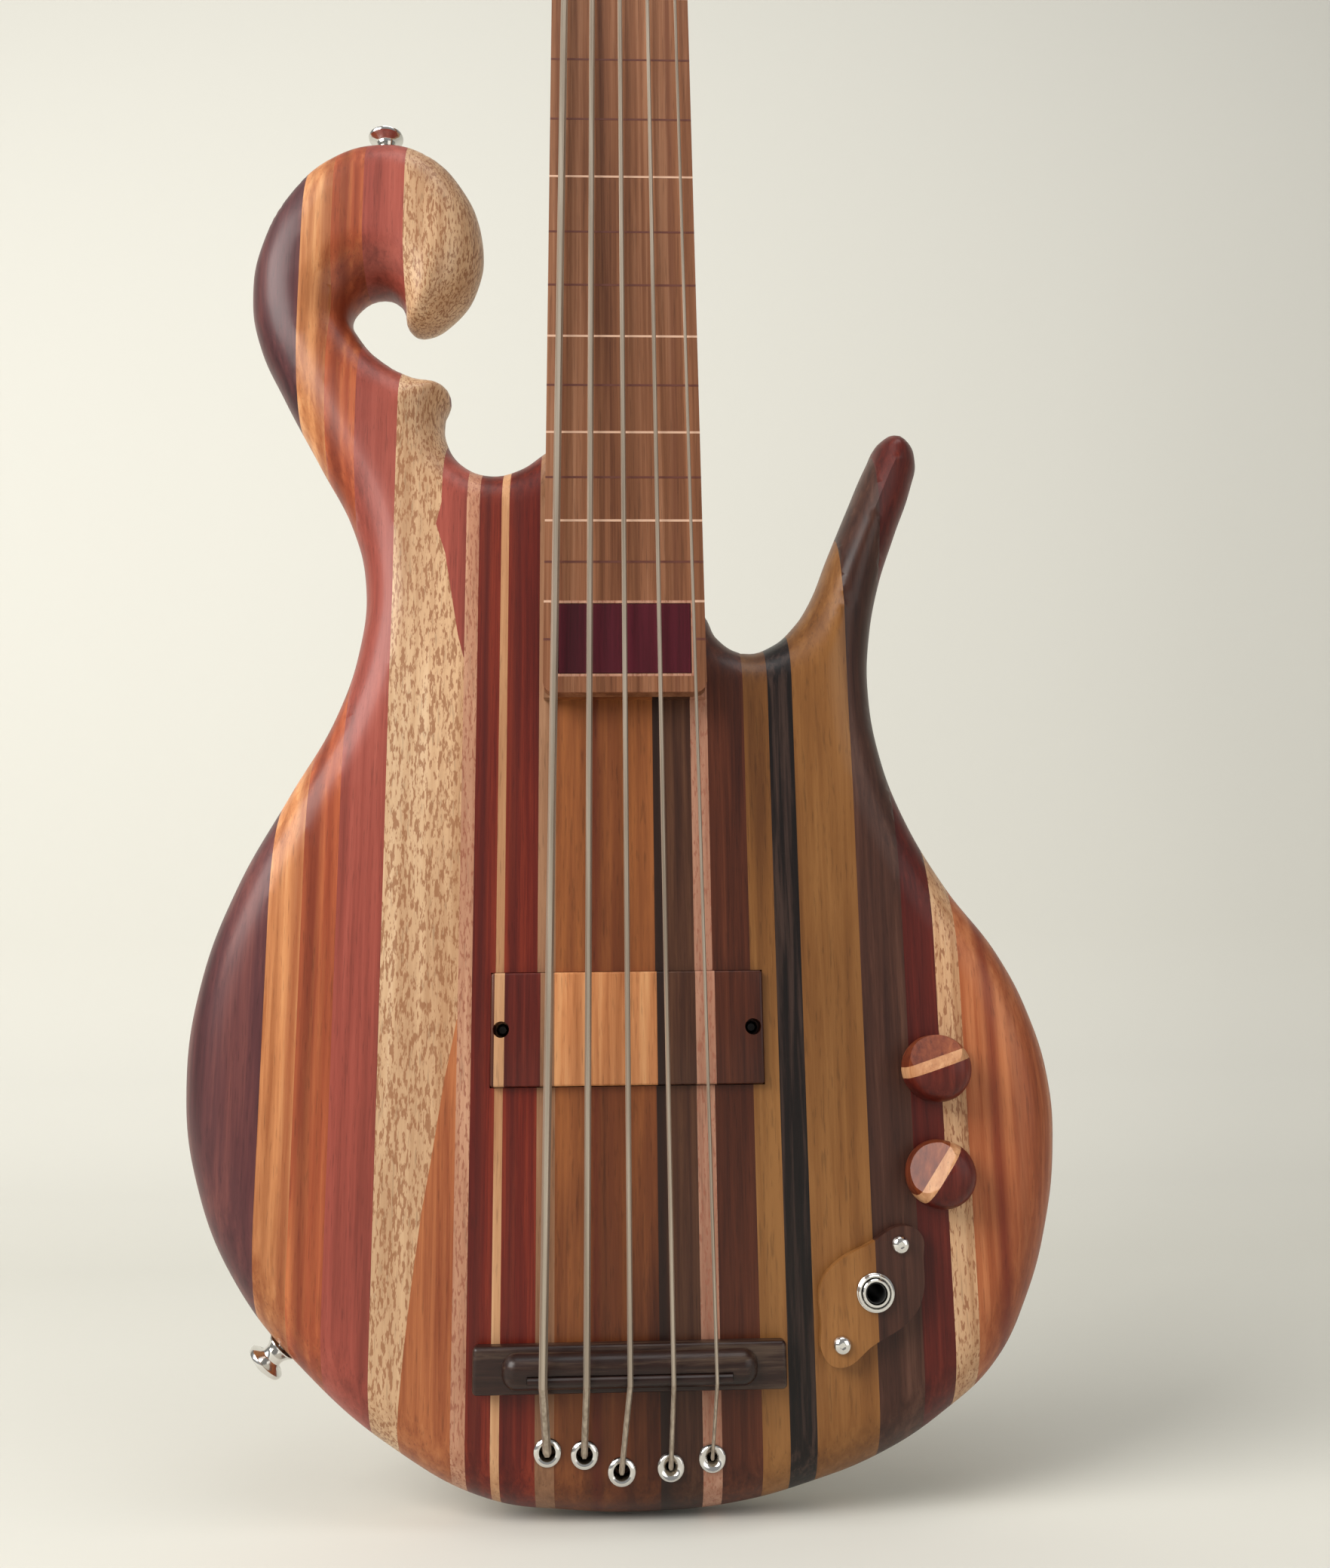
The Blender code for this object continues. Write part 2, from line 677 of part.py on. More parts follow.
def plate_seat():
    """Height of the outer face of a tuner plate in a tuner's frame."""
    return -HEAD_THICKNESS - FIT - PLATE_THICKNESS


def pickup_screw_frames():
    seat = BODY_FRONT - PICKUP_PROUD + PICKUP_HEIGHT - 4 * MM
    return [
        axis_frame((side * PICKUP_SCREW_X, seat, PICKUP_MIDDLE), FRONT) for side in (-1, 1)
    ]


def jack_screw_frames():
    seat = BODY_FRONT - JACK_PLATE_THICKNESS - 2 * FIT
    return [axis_frame((across, seat, up), FRONT) for across, up in JACK_PLATE_SCREWS]


def edge_frame(loop, target):
    """Frame on the outline nearest the target: Z leaves the body."""
    loop = np.asarray(loop)
    index = int(np.argmin(np.linalg.norm(loop - np.asarray(target), axis=1)))
    along = loop[(index + 1) % len(loop)] - loop[index - 1]
    outward = Vector((-along[1], 0, along[0])).normalized()
    return axis_frame(Vector((loop[index][0], 0, loop[index][1])) + outward * FIT, outward)


def body_cutters(loop):
    """Everything that is routed or drilled in the wood before it is divided into strips."""
    front_reach = BODY_FRONT - 20 * MM
    back_reach = BODY_BACK + 20 * MM
    half = PICKUP_LENGTH / 2 + FIT
    cutters = [
        box(
            "pickup_pocket",
            (-half, front_reach, PICKUP_LOW - FIT),
            (half, BODY_FRONT + PICKUP_POCKET, PICKUP_LOW + PICKUP_WIDTH + FIT),
        ),
        plate(
            "control_cavity", hull_curve("control_cavity", CAVITY_CIRCLES, 0),
            CAVITY_FRONT, back_reach,
        ),
        plate(
            "cover_recess", hull_curve("cover_recess", CAVITY_CIRCLES, COVER_LEDGE + FIT),
            COVER_SEAT, back_reach,
        ),
    ]
    for across, up in (VOLUME_PLACE, TONE_PLACE):
        start, end = (across, front_reach, up), (across, CAVITY_FRONT + 1 * MM, up)
        cutters.append(rod("bushing_hole", POT_BUSHING + 2 * FIT, start, end))
    across, up = JACK_PLACE
    start, end = (across, front_reach, up), (across, CAVITY_FRONT + 1 * MM, up)
    cutters.append(rod("jack_hole", JACK_HOLE, start, end, 16))
    for _name, _radius, across, up in STRINGS:
        front, back = (across, front_reach, up), (across, back_reach, up)
        sleeve_end = (across, BODY_FRONT + FERRULE_LENGTH, up)
        ball_seat = (across, BODY_BACK - BALL_HOLE_DEPTH, up)
        cutters.append(rod("string_hole", STRING_HOLE, front, back, 8))
        cutters.append(rod("sleeve_hole", FERRULE_SLEEVE + 1.4 * FIT, front, sleeve_end))
        cutters.append(rod("ball_hole", BALL_RADIUS + BALL_GAP, ball_seat, back))
    pickup_end = (PICKUP_LENGTH / 2 - 4 * MM, CHANNEL_Y, CHANNEL_Z)
    cavity_wall = (CAVITY_CIRCLES[2][0] - 12 * MM, CHANNEL_Y, CHANNEL_Z)
    cutters.append(rod("wire_channel", CHANNEL_RADIUS, pickup_end, cavity_wall, 8))
    cutters.append(box(
        "truss_channel",
        (-TRUSS_WIDTH / 2 - FIT, BOARD_BOTTOM - 5 * MM, BOARD_END + 14 * MM),
        (TRUSS_WIDTH / 2 + FIT, BOARD_BOTTOM + TRUSS_DEPTH + 2 * FIT, NUT_TOP + 24 * MM),
    ))
    for index in range(len(STRINGS)):
        frame = tuner_frame(index)
        top = frame @ Vector((0, 0, 5 * MM))
        bottom = frame @ Vector((0, 0, -HEAD_THICKNESS - 5 * MM))
        cutters.append(rod("post_hole", POST_RADIUS + 2 * FIT, top, bottom))
    for frame in pickup_screw_frames():
        cutters.append(screw_hole(frame, SCREW_RADIUS, PICKUP_SCREW_LENGTH))
    for frame in jack_screw_frames():
        cutters.append(screw_hole(frame, SCREW_RADIUS, PLATE_SCREW_LENGTH))
    for _name, target in STRAP_TARGETS:
        frame = edge_frame(loop, target)
        cutters.append(screw_hole(frame, STRAP_SCREW_RADIUS, STRAP_SCREW_LENGTH, 8))
    return cutters


STRAP_TARGETS = (("upper", (-100 * MM, 533.5 * MM)), ("lower", (-117 * MM, 51.5 * MM)))


def slab(low_x, high_x, low_z=BELOW_ALL, high_z=BODY_TOP):
    """Cutter that keeps what lies between two strip edges, less half a gap at each."""
    half = STRIP_GAP / 2
    return box("slab", (low_x + half, -BODY_SIDE, low_z), (high_x - half, BODY_SIDE, high_z))


def strip(name, blank, keeper, finish_name):
    """One strip of wood: what the blank has inside the slab."""
    piece = new_object(name, blank.data.copy())
    boolean(piece, keeper, "INTERSECT")
    as_part(smooth(as_mesh(piece)), finish_name)


def make_wood(loop):
    """The blank, divided lengthwise into its strips."""
    blank = carved_blank("blank", loop)
    boolean(blank, neck_blank(), "UNION")
    boolean(blank, head_blank(), "UNION")
    blank = cut(as_mesh(blank), body_cutters(loop))
    left, right = -BODY_SIDE, BODY_SIDE
    top = ABOVE_ALL
    strip("bass_wing", blank, slab(left, BASS_WING_EDGE), "rust wood")
    strip("crimson_strip", blank, slab(BASS_WING_EDGE, NECK_LEFT_EDGE), "crimson wood")
    strip("neck_grey_strip", blank, slab(NECK_LEFT_EDGE, GREY_EDGE, high_z=HEAD_BASE), "grey wood")
    strip("neck_core", blank, slab(GREY_EDGE, CORE_EDGE, high_z=top), "orange wood")
    strip("neck_dark_strip", blank, slab(CORE_EDGE, DARK_EDGE, high_z=top), "dark wood")
    strip("neck_pale_strip", blank, slab(DARK_EDGE, NECK_RIGHT_EDGE, high_z=HEAD_BASE), "pale wood")
    strip("brown_strip", blank, slab(NECK_RIGHT_EDGE, BROWN_EDGE), "brown wood")
    strip("olive_strip", blank, slab(BROWN_EDGE, OLIVE_EDGE), "olive wood")
    strip("ebony_strip", blank, slab(OLIVE_EDGE, EBONY_EDGE), "black wood")
    strip("treble_wing", blank, slab(EBONY_EDGE, right), "amber wood")
    strip("headstock_wing_bass", blank, slab(left, GREY_EDGE, HEAD_BASE, top), "crimson wood")
    strip("headstock_wing_treble", blank, slab(DARK_EDGE, right, HEAD_BASE, top), "crimson wood")


def make_fingerboard():
    """The board, rounded at its heel corners, with the block let into its heel end."""
    low, high = BOARD_END, NUT_Z - FIT
    corners = [(-board_width(low) / 2, low), (-board_width(high) / 2, high)]
    corners += [(-across, up) for across, up in reversed(corners)]
    board = plate(
        "fingerboard", polygon_curve("fingerboard", corners), BOARD_TOP, BOARD_BOTTOM - FIT,
    )
    bm = bmesh.new()
    bm.from_mesh(board.data)
    ends = [
        edge for edge in bm.edges
        if all(abs((board.matrix_world @ vert.co).z - low) < FIT for vert in edge.verts)
        and abs(edge.verts[0].co.z - edge.verts[1].co.z) > 1 * MM
    ]
    bmesh.ops.bevel(
        bm, geom=ends, offset=BOARD_CORNER, segments=3, affect="EDGES", profile=0.5, material=-1,
    )
    bm.to_mesh(board.data)
    bm.free()
    half = INLAY_WIDTH / 2
    pocket = box(
        "inlay_pocket",
        (-half - FIT, BOARD_TOP - 1 * MM, INLAY_LOW - FIT),
        (half + FIT, BOARD_TOP + INLAY_DEPTH + FIT, INLAY_HIGH + FIT),
    )
    as_part(cut(board, [pocket]), "board wood")
    inlay = box(
        "heel_inlay", (-half, BOARD_TOP, INLAY_LOW), (half, BOARD_TOP + INLAY_DEPTH, INLAY_HIGH),
    )
    as_part(inlay, "inlay purple")


def nut_x(index):
    return (index - 2) * NUT_SPACING


def saddle_x(index):
    return (index - 2) * SADDLE_SPACING


def make_nut():
    half = BOARD_WIDTH_AT_NUT / 2
    low = (-half, BOARD_TOP - 2.2 * MM, NUT_Z)
    nut = box("nut", low, (half, BOARD_BOTTOM - FIT, NUT_TOP - FIT))
    slots = []
    for index, (_name, radius, _across, _up) in enumerate(STRINGS):
        reach = radius + 1.5 * FIT
        low = (nut_x(index) - reach, BOARD_TOP - 9 * MM, NUT_Z - 2 * MM)
        high = (nut_x(index) + reach, BOARD_TOP - ACTION_AT_NUT + FIT, NUT_TOP + 2 * MM)
        slots.append(box("nut_slot", low, high))
    as_part(cut(nut, slots), "bone")


def make_truss_rod():
    rod_box = box(
        "truss_rod",
        (-TRUSS_WIDTH / 2, BOARD_BOTTOM + FIT, BOARD_END + 16 * MM),
        (TRUSS_WIDTH / 2, BOARD_BOTTOM + TRUSS_DEPTH, NUT_TOP + 6 * MM),
    )
    as_part(rod_box, "steel")


def winding_points(index, radius, arrive):
    """Turns of a string round its post, from where it meets the post in the tuner's frame."""
    frame = tuner_frame(index)
    reach = POST_WAIST + FIT + radius
    local = frame.inverted() @ arrive
    start_height = POST_WAIST_LOW + 1 * MM + radius
    bearing = math.atan2(local.y, local.x)
    tangent = math.acos(reach / math.hypot(local.x, local.y))
    turn = nut_ward(index)
    first = bearing + turn * tangent
    climb = (2 * radius + 0.5 * MM) * WRAP_TURNS
    points = []
    for step in range(WRAP_TURNS * WRAP_STEPS + 1):
        share = step / (WRAP_TURNS * WRAP_STEPS)
        angle = first + turn * 2 * math.pi * WRAP_TURNS * share
        place = (reach * math.cos(angle), reach * math.sin(angle), start_height + climb * share)
        points.append(frame @ Vector(place))
    return points


def make_strings():
    """Each string from its ball end, over saddle and nut, and round its post."""
    for index, (name, radius, across, up) in enumerate(STRINGS):
        ball_back = BODY_BACK - BALL_HOLE_DEPTH + FIT + BALL_LENGTH
        saddle_y = SADDLE_TOP - FIT - radius
        nut_y = BOARD_TOP - ACTION_AT_NUT - radius
        mouth = BODY_FRONT - FERRULE_RIM_HEIGHT - 1.6 * MM
        points = [
            (across, ball_back, up),
            (across, ball_back - BALL_LENGTH, up),
            (across, ball_back - BALL_LENGTH - 0.1 * MM, up),
            (across, BODY_FRONT + 2 * MM, up),
            (across, mouth + 0.5 * MM, up + 0.2 * MM),
            (across, mouth - 0.4 * MM, up + 1.2 * MM),
            (saddle_x(index), saddle_y, SADDLE_Z - 1 * MM),
            (saddle_x(index), saddle_y, SADDLE_Z + 1 * MM),
            (nut_x(index), nut_y, NUT_Z - 1 * MM),
            (nut_x(index), nut_y, NUT_TOP + 1 * MM),
        ]
        ball = BALL_RADIUS / radius
        leave = Vector(points[-1])
        winding = winding_points(index, radius, leave)
        radii = [ball, ball] + [1] * (len(points) - 2 + len(winding))
        tube(f"string_{name}", points + winding, radius, "steel", radii)


def make_bridge():
    half = BRIDGE_LENGTH / 2
    seat = BODY_FRONT - FIT
    middle = (BRIDGE_LOW + BRIDGE_HIGH) / 2
    bar = bevelled(box(
        "bridge", (-half, seat - BRIDGE_FOOT, BRIDGE_LOW), (half, seat, BRIDGE_HIGH),
    ), 1.5 * MM)
    ridge = bevelled(box(
        "ridge",
        (-RIDGE_LENGTH / 2, seat - RIDGE_HEIGHT, middle - RIDGE_WIDTH / 2),
        (RIDGE_LENGTH / 2, seat - 1 * MM, middle + RIDGE_WIDTH / 2),
    ), 3.4 * MM, 3)
    centre = SADDLE_TOP + SADDLE_RADIUS
    reach = SADDLE_LENGTH / 2
    groove = rod(
        "groove", SADDLE_RADIUS + 1.2 * FIT, (-reach - FIT, centre, SADDLE_Z),
        (reach + FIT, centre, SADDLE_Z),
    )
    bar = as_mesh(boolean(as_mesh(bar), as_mesh(ridge), "UNION"))
    as_part(smooth(cut(bar, [groove])), "black wood")
    saddle = rod("saddle", SADDLE_RADIUS, (-reach, centre, SADDLE_Z), (reach, centre, SADDLE_Z))
    as_part(smooth(saddle), "black wood")


def make_ferrules():
    """Rimmed ferrules that line the string holes where they open at the front."""
    for name, _radius, across, up in STRINGS:
        frame = axis_frame((across, BODY_FRONT - FIT, up), FRONT)
        end = FIT - FERRULE_LENGTH
        profile = (
            (FERRULE_BORE, FERRULE_RIM_HEIGHT), (FERRULE_RIM * 0.8, FERRULE_RIM_HEIGHT),
            (FERRULE_RIM, 0), (FERRULE_SLEEVE, 0), (FERRULE_SLEEVE, end), (FERRULE_BORE, end),
        )
        ferrule = turned(f"string_ferrule_{name}", profile, frame, ring=True)
        as_part(smooth(ferrule), "chrome")


def make_pickup():
    half = PICKUP_LENGTH / 2
    top = BODY_FRONT - PICKUP_PROUD
    bottom = top + PICKUP_HEIGHT
    high = PICKUP_LOW + PICKUP_WIDTH
    cover = as_mesh(bevelled(box("pickup_cover", (-half, top, PICKUP_LOW), (half, bottom, high)), 1 * MM))
    hollow = box(
        "hollow",
        (-half + PICKUP_END_BLOCK, top + PICKUP_WALL, PICKUP_LOW + PICKUP_WALL),
        (half - PICKUP_END_BLOCK, bottom + 5 * MM, high - PICKUP_WALL),
    )
    holes = [hollow]
    for frame in pickup_screw_frames():
        seat = frame.to_translation()
        above = seat + 20 * MM * FRONT
        holes.append(rod("head_hole", PICKUP_SCREW_HOLE + 2 * FIT, seat - FIT * FRONT, above, 10))
        holes.append(screw_hole(frame, SCREW_RADIUS, PICKUP_SCREW_LENGTH))
    as_part(cut(cover, holes), "rust wood")
    floor = BODY_FRONT + PICKUP_POCKET - FIT
    rounds = [
        (side * (COIL_HALF_LENGTH - COIL_HALF_WIDTH), PICKUP_MIDDLE, COIL_HALF_WIDTH)
        for side in (-1, 1)
    ]
    outline = hull_curve("pickup_coil", rounds, 0, 12)
    as_part(smooth(plate("pickup_coil", outline, floor - COIL_HEIGHT, floor)), "plastic")
    for side, frame in zip(("bass", "treble"), pickup_screw_frames()):
        screw_solid(
            f"pickup_screw_{side}", frame, PICKUP_SCREW_LENGTH, PICKUP_SCREW_HOLE, SCREW_HEAD_HEIGHT,
        )


def make_knob(name, place, ridge_turn, finish_name):
    """A turned wooden knob whose top is cut to a ridge by two slopes."""
    across, up = place
    frame = axis_frame((across, BODY_FRONT - KNOB_LIFT, up), FRONT)
    bm = bmesh.new()
    bmesh.ops.create_cone(
        bm, cap_ends=True, segments=24, radius1=KNOB_RADIUS, radius2=KNOB_RADIUS, depth=KNOB_HEIGHT,
    )
    bmesh.ops.translate(bm, vec=(0, 0, KNOB_HEIGHT / 2), verts=bm.verts)
    for side in (-1, 1):
        slope = math.atan2(KNOB_HEIGHT - KNOB_RIM, KNOB_RADIUS)
        normal = Vector((0, side * math.sin(slope), math.cos(slope)))
        cutting = bmesh.ops.bisect_plane(
            bm, geom=bm.verts[:] + bm.edges[:] + bm.faces[:], dist=0.001 * MM,
            plane_co=(0, side * 0.9 * MM, KNOB_HEIGHT), plane_no=normal, clear_outer=True,
        )
        bmesh.ops.contextual_create(
            bm, geom=[item for item in cutting["geom_cut"] if isinstance(item, bmesh.types.BMEdge)],
        )
    upright = Vector((1, 0, 0))
    level = frame.to_3x3().inverted() @ upright
    turn = math.atan2(level.y, level.x)
    knob = from_bmesh(name, bm, frame @ Matrix.Rotation(turn + ridge_turn, 4, "Z"))
    recess = rod(
        "recess", KNOB_RECESS, frame @ Vector((0, 0, -1 * MM)),
        frame @ Vector((0, 0, KNOB_RECESS_DEPTH)),
    )
    bore = rod(
        "bore", SHAFT_RADIUS + 1.4 * FIT, frame @ Vector((0, 0, -1 * MM)),
        frame @ Vector((0, 0, KNOB_RIM + FIT)),
    )
    as_part(smooth(cut(knob, [recess, bore])), finish_name)


def make_controls():
    make_knob("volume_knob", VOLUME_PLACE, VOLUME_RIDGE_TURN, "amber wood")
    make_knob("tone_knob", TONE_PLACE, TONE_RIDGE_TURN, "amber wood")
    can_front = CAVITY_FRONT + FIT
    bore = SHAFT_RADIUS + 1.4 * FIT
    for name, (across, up) in (("volume", VOLUME_PLACE), ("tone", TONE_PLACE)):
        shaft = rod(
            f"{name}_shaft", SHAFT_RADIUS, (across, can_front - 2 * MM, up),
            (across, BODY_FRONT - KNOB_LIFT - KNOB_RIM, up),
        )
        as_part(smooth(shaft), "brass")
        frame = axis_frame((across, can_front, up), FRONT)
        bushing_top = can_front - (BODY_FRONT - KNOB_LIFT - KNOB_RECESS_DEPTH + 1 * MM)
        profile = (
            (0, 2 * MM - FIT), (bore, 2 * MM - FIT), (bore, bushing_top),
            (POT_BUSHING, bushing_top), (POT_BUSHING, 0), (POT_RADIUS, 0),
            (POT_RADIUS, -POT_HEIGHT), (0, -POT_HEIGHT),
        )
        as_part(smooth(turned(f"{name}_potentiometer", profile, frame, 16)), "steel")


def make_jack():
    """Output jack in its wooden plate."""
    across, up = JACK_PLACE
    front = BODY_FRONT - FIT - JACK_PLATE_THICKNESS
    outline = plate(
        "jack_plate", curve_loop("jack_plate", JACK_PLATE_OUTLINE, 2), front, BODY_FRONT - FIT,
    )
    start, end = (across, front - 5 * MM, up), (across, BODY_FRONT + 5 * MM, up)
    holes = [rod("bushing_hole", JACK_BUSHING + 1.4 * FIT, start, end)]
    holes += [screw_hole(frame, SCREW_RADIUS, PLATE_SCREW_LENGTH) for frame in jack_screw_frames()]
    outline = as_mesh(bevelled(outline, 1.2 * MM, 1, 60))
    as_part(cut(outline, holes), "olive wood")
    frame = axis_frame((across, BODY_FRONT, up), FRONT)
    tip = JACK_PLATE_THICKNESS + FIT + JACK_STAND_OUT
    floor = -JACK_BARREL_LENGTH + 3 * MM
    profile = (
        (0, floor), (JACK_BORE, floor), (JACK_BORE, tip), (JACK_BUSHING, tip), (JACK_BUSHING, 0),
        (JACK_BARREL, 0), (JACK_BARREL, -JACK_BARREL_LENGTH), (0, -JACK_BARREL_LENGTH),
    )
    as_part(smooth(turned("jack_socket", profile, frame, 16)), "chrome")
    nut_frame = axis_frame((across, front - FIT, up), FRONT)
    bore = JACK_BUSHING + 1.4 * FIT
    profile = (
        (bore, JACK_NUT_HEIGHT), (JACK_NUT_RADIUS, JACK_NUT_HEIGHT), (JACK_NUT_RADIUS, 0), (bore, 0),
    )
    as_part(turned("jack_nut", profile, nut_frame, 12, ring=True), "chrome")
    for side, frame in zip(("upper", "lower"), jack_screw_frames()):
        screw_solid(f"jack_plate_screw_{side}", frame, PLATE_SCREW_LENGTH, DOME_RADIUS, DOME_HEIGHT)


def make_cover():
    cover = plate(
        "control_cover", hull_curve("control_cover", CAVITY_CIRCLES, COVER_LEDGE), COVER_SEAT + FIT,
        BODY_BACK,
    )
    as_part(cover, "brown wood")


def tuner_plate(name, indices):
    """One plate behind the headstock for the tuners of a side, with two lugs for each worm."""
    seat = -HEAD_THICKNESS - FIT
    first = tuner_frame(indices[0])
    places = [(first.inverted() @ tuner_frame(index).to_translation()).y for index in indices]
    ward = nut_ward(indices[0])
    ends = sorted((min(places), max(places)))
    low = ends[0] - (PLATE_BELOW if ward < 0 else PLATE_ABOVE)
    high = ends[1] + (PLATE_BELOW if ward > 0 else PLATE_ABOVE)
    base = box(
        name, (-PLATE_WIDTH / 2, low, seat - PLATE_THICKNESS), (PLATE_WIDTH / 2, high, seat), first,
    )
    holes = []
    for index in indices:
        frame = tuner_frame(index)
        axis_y = ward * WORM_OFFSET
        for side in (-1, 1):
            middle = side * (WORM_HALF_LENGTH + FIT + LUG_THICKNESS / 2)
            lug = box(
                "lug",
                (middle - LUG_THICKNESS / 2, axis_y - LUG_HALF_WIDTH, WHEEL_MIDDLE - LUG_HALF_WIDTH),
                (middle + LUG_THICKNESS / 2, axis_y + LUG_HALF_WIDTH, seat - PLATE_THICKNESS / 2),
                frame,
            )
            boolean(base, lug, "UNION")
        axis = worm_frame(index)
        reach = WORM_HALF_LENGTH + LUG_THICKNESS + 5 * MM
        holes.append(rod(
            "worm_hole", WORM_SHAFT + 1.4 * FIT, axis @ Vector((0, 0, -reach)),
            axis @ Vector((0, 0, reach)), 10,
        ))
        holes.append(rod(
            "axle_hole", AXLE_RADIUS + 1.4 * FIT, frame @ Vector((0, 0, seat + 2 * MM)),
            frame @ Vector((0, 0, seat - PLATE_THICKNESS - 2 * MM)),
        ))
    as_part(cut(as_mesh(base), holes), "chrome")


def make_tuners():
    """Five open-geared tuners: a post with its wheel, and a worm with its button, for each string."""
    tuner_plate("tuner_plate_bass", [i for i, place in enumerate(TUNER_PLACES) if place[0] < 0])
    tuner_plate("tuner_plate_treble", [i for i, place in enumerate(TUNER_PLACES) if place[0] > 0])
    for index, (name, _radius, _across, _up) in enumerate(STRINGS):
        profile = (
            (0, POST_HEIGHT), (POST_RADIUS * 0.8, POST_HEIGHT), (POST_RADIUS, POST_HEIGHT - 1 * MM),
            (POST_RADIUS, POST_WAIST_HIGH + 1.5 * MM), (POST_WAIST, POST_WAIST_HIGH),
            (POST_WAIST, POST_WAIST_LOW), (POST_RADIUS, POST_WAIST_LOW - 1.5 * MM),
            (POST_RADIUS, -HEAD_THICKNESS + 2 * MM), (AXLE_RADIUS, -HEAD_THICKNESS + 2 * MM),
            (AXLE_RADIUS, WHEEL_TOP), (WHEEL_RADIUS, WHEEL_TOP),
            (WHEEL_RADIUS, WHEEL_TOP - WHEEL_THICKNESS), (0, WHEEL_TOP - WHEEL_THICKNESS),
        )
        post = turned(f"tuner_post_{name}", profile, tuner_frame(index))
        as_part(smooth(post), "chrome")
        shaft_end = -WORM_HALF_LENGTH - LUG_THICKNESS - 3 * FIT
        button_end = BUTTON_START + BUTTON_LENGTH
        profile = (
            (0, button_end), (BUTTON_RADIUS * 0.7, button_end - BUTTON_LENGTH * 0.07),
            (BUTTON_RADIUS, button_end - BUTTON_LENGTH * 0.4),
            (BUTTON_RADIUS * 0.75, BUTTON_START + BUTTON_LENGTH * 0.2), (WORM_SHAFT, BUTTON_START),
            (WORM_SHAFT, WORM_HALF_LENGTH), (WORM_RADIUS, WORM_HALF_LENGTH),
            (WORM_RADIUS, -WORM_HALF_LENGTH), (WORM_SHAFT, -WORM_HALF_LENGTH),
            (WORM_SHAFT, shaft_end), (0, shaft_end),
        )
        button = turned(f"tuner_button_{name}", profile, worm_frame(index))
        for vert in button.data.vertices:
            if vert.co.z > BUTTON_START + FIT:
                vert.co.x *= BUTTON_FLATNESS
        as_part(smooth(button), "chrome")


def make_strap_buttons(loop):
    """Waisted buttons for the strap, each with the head and shank of its screw."""
    for side, target in STRAP_TARGETS:
        profile = (
            (0, STRAP_HEIGHT + 1.6 * MM), (STRAP_SCREW_HEAD, STRAP_HEIGHT + 0.8 * MM),
            (STRAP_SCREW_HEAD, STRAP_HEIGHT), (STRAP_BASE * 0.9, STRAP_HEIGHT),
            (STRAP_BASE, STRAP_HEIGHT - 1 * MM), (STRAP_BASE, STRAP_HEIGHT - 2 * MM),
            (STRAP_WAIST, STRAP_HEIGHT - 3.5 * MM), (STRAP_WAIST, 2.5 * MM), (STRAP_BASE * 0.8, 0),
            (STRAP_SCREW_RADIUS, 0), (STRAP_SCREW_RADIUS, -STRAP_SCREW_LENGTH),
            (0, -STRAP_SCREW_LENGTH - STRAP_SCREW_RADIUS),
        )
        button = turned(f"strap_button_{side}", profile, edge_frame(loop, target), 14)
        as_part(smooth(button), "chrome")


def make_wiring():
    """One lead from the pickup past the volume and tone controls to the jack."""
    can_back = CAVITY_FRONT + FIT + POT_HEIGHT + WIRE_RADIUS + FIT
    volume, tone, jack = VOLUME_PLACE, TONE_PLACE, JACK_PLACE
    lug_x = volume[0] - 4 * MM
    barrel_end = BODY_FRONT + JACK_BARREL_LENGTH + FIT
    entry = CAVITY_CIRCLES[2][0] - 10 * MM
    points = (
        (COIL_HALF_LENGTH + FIT, CHANNEL_Y, CHANNEL_Z - 2 * MM),
        (PICKUP_LENGTH / 2 - 8 * MM, CHANNEL_Y, CHANNEL_Z),
        (entry, CHANNEL_Y, CHANNEL_Z),
        (entry + 3 * MM, can_back + 1 * MM, CHANNEL_Z - 2 * MM),
        (lug_x, can_back, volume[1] + 2 * MM),
        (lug_x, can_back, tone[1] - 4 * MM),
        (lug_x - 6 * MM, barrel_end + 2 * MM, tone[1] - 18 * MM),
        (jack[0] + 4 * MM, barrel_end + 3 * MM, jack[1] + 8 * MM),
        (jack[0], barrel_end + 3 * MM, jack[1]),
        (jack[0], barrel_end, jack[1]),
    )
    tube("wiring", points, WIRE_RADIUS, "wire cover")


def build():
    loop = outline_loop()
    make_wood(loop)
    make_fingerboard()
    make_nut()
    make_truss_rod()
    make_bridge()
    make_ferrules()
    make_pickup()
    make_controls()
    make_jack()
    make_cover()
    make_tuners()
    make_strings()
    make_strap_buttons(loop)
    make_wiring()


build()
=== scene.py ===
"""Looks of a five-string electric bass guitar with a laminated, carved body.

Metres, +Z up along the neck, the front faces -Y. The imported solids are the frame. Each section
makes one piece or a group of like pieces, in the order in which the instrument is put together.
"""

import math

import bmesh
import bpy
import numpy as np
from mathutils import Matrix, Vector
from mathutils.geometry import convex_hull_2d, delaunay_2d_cdt


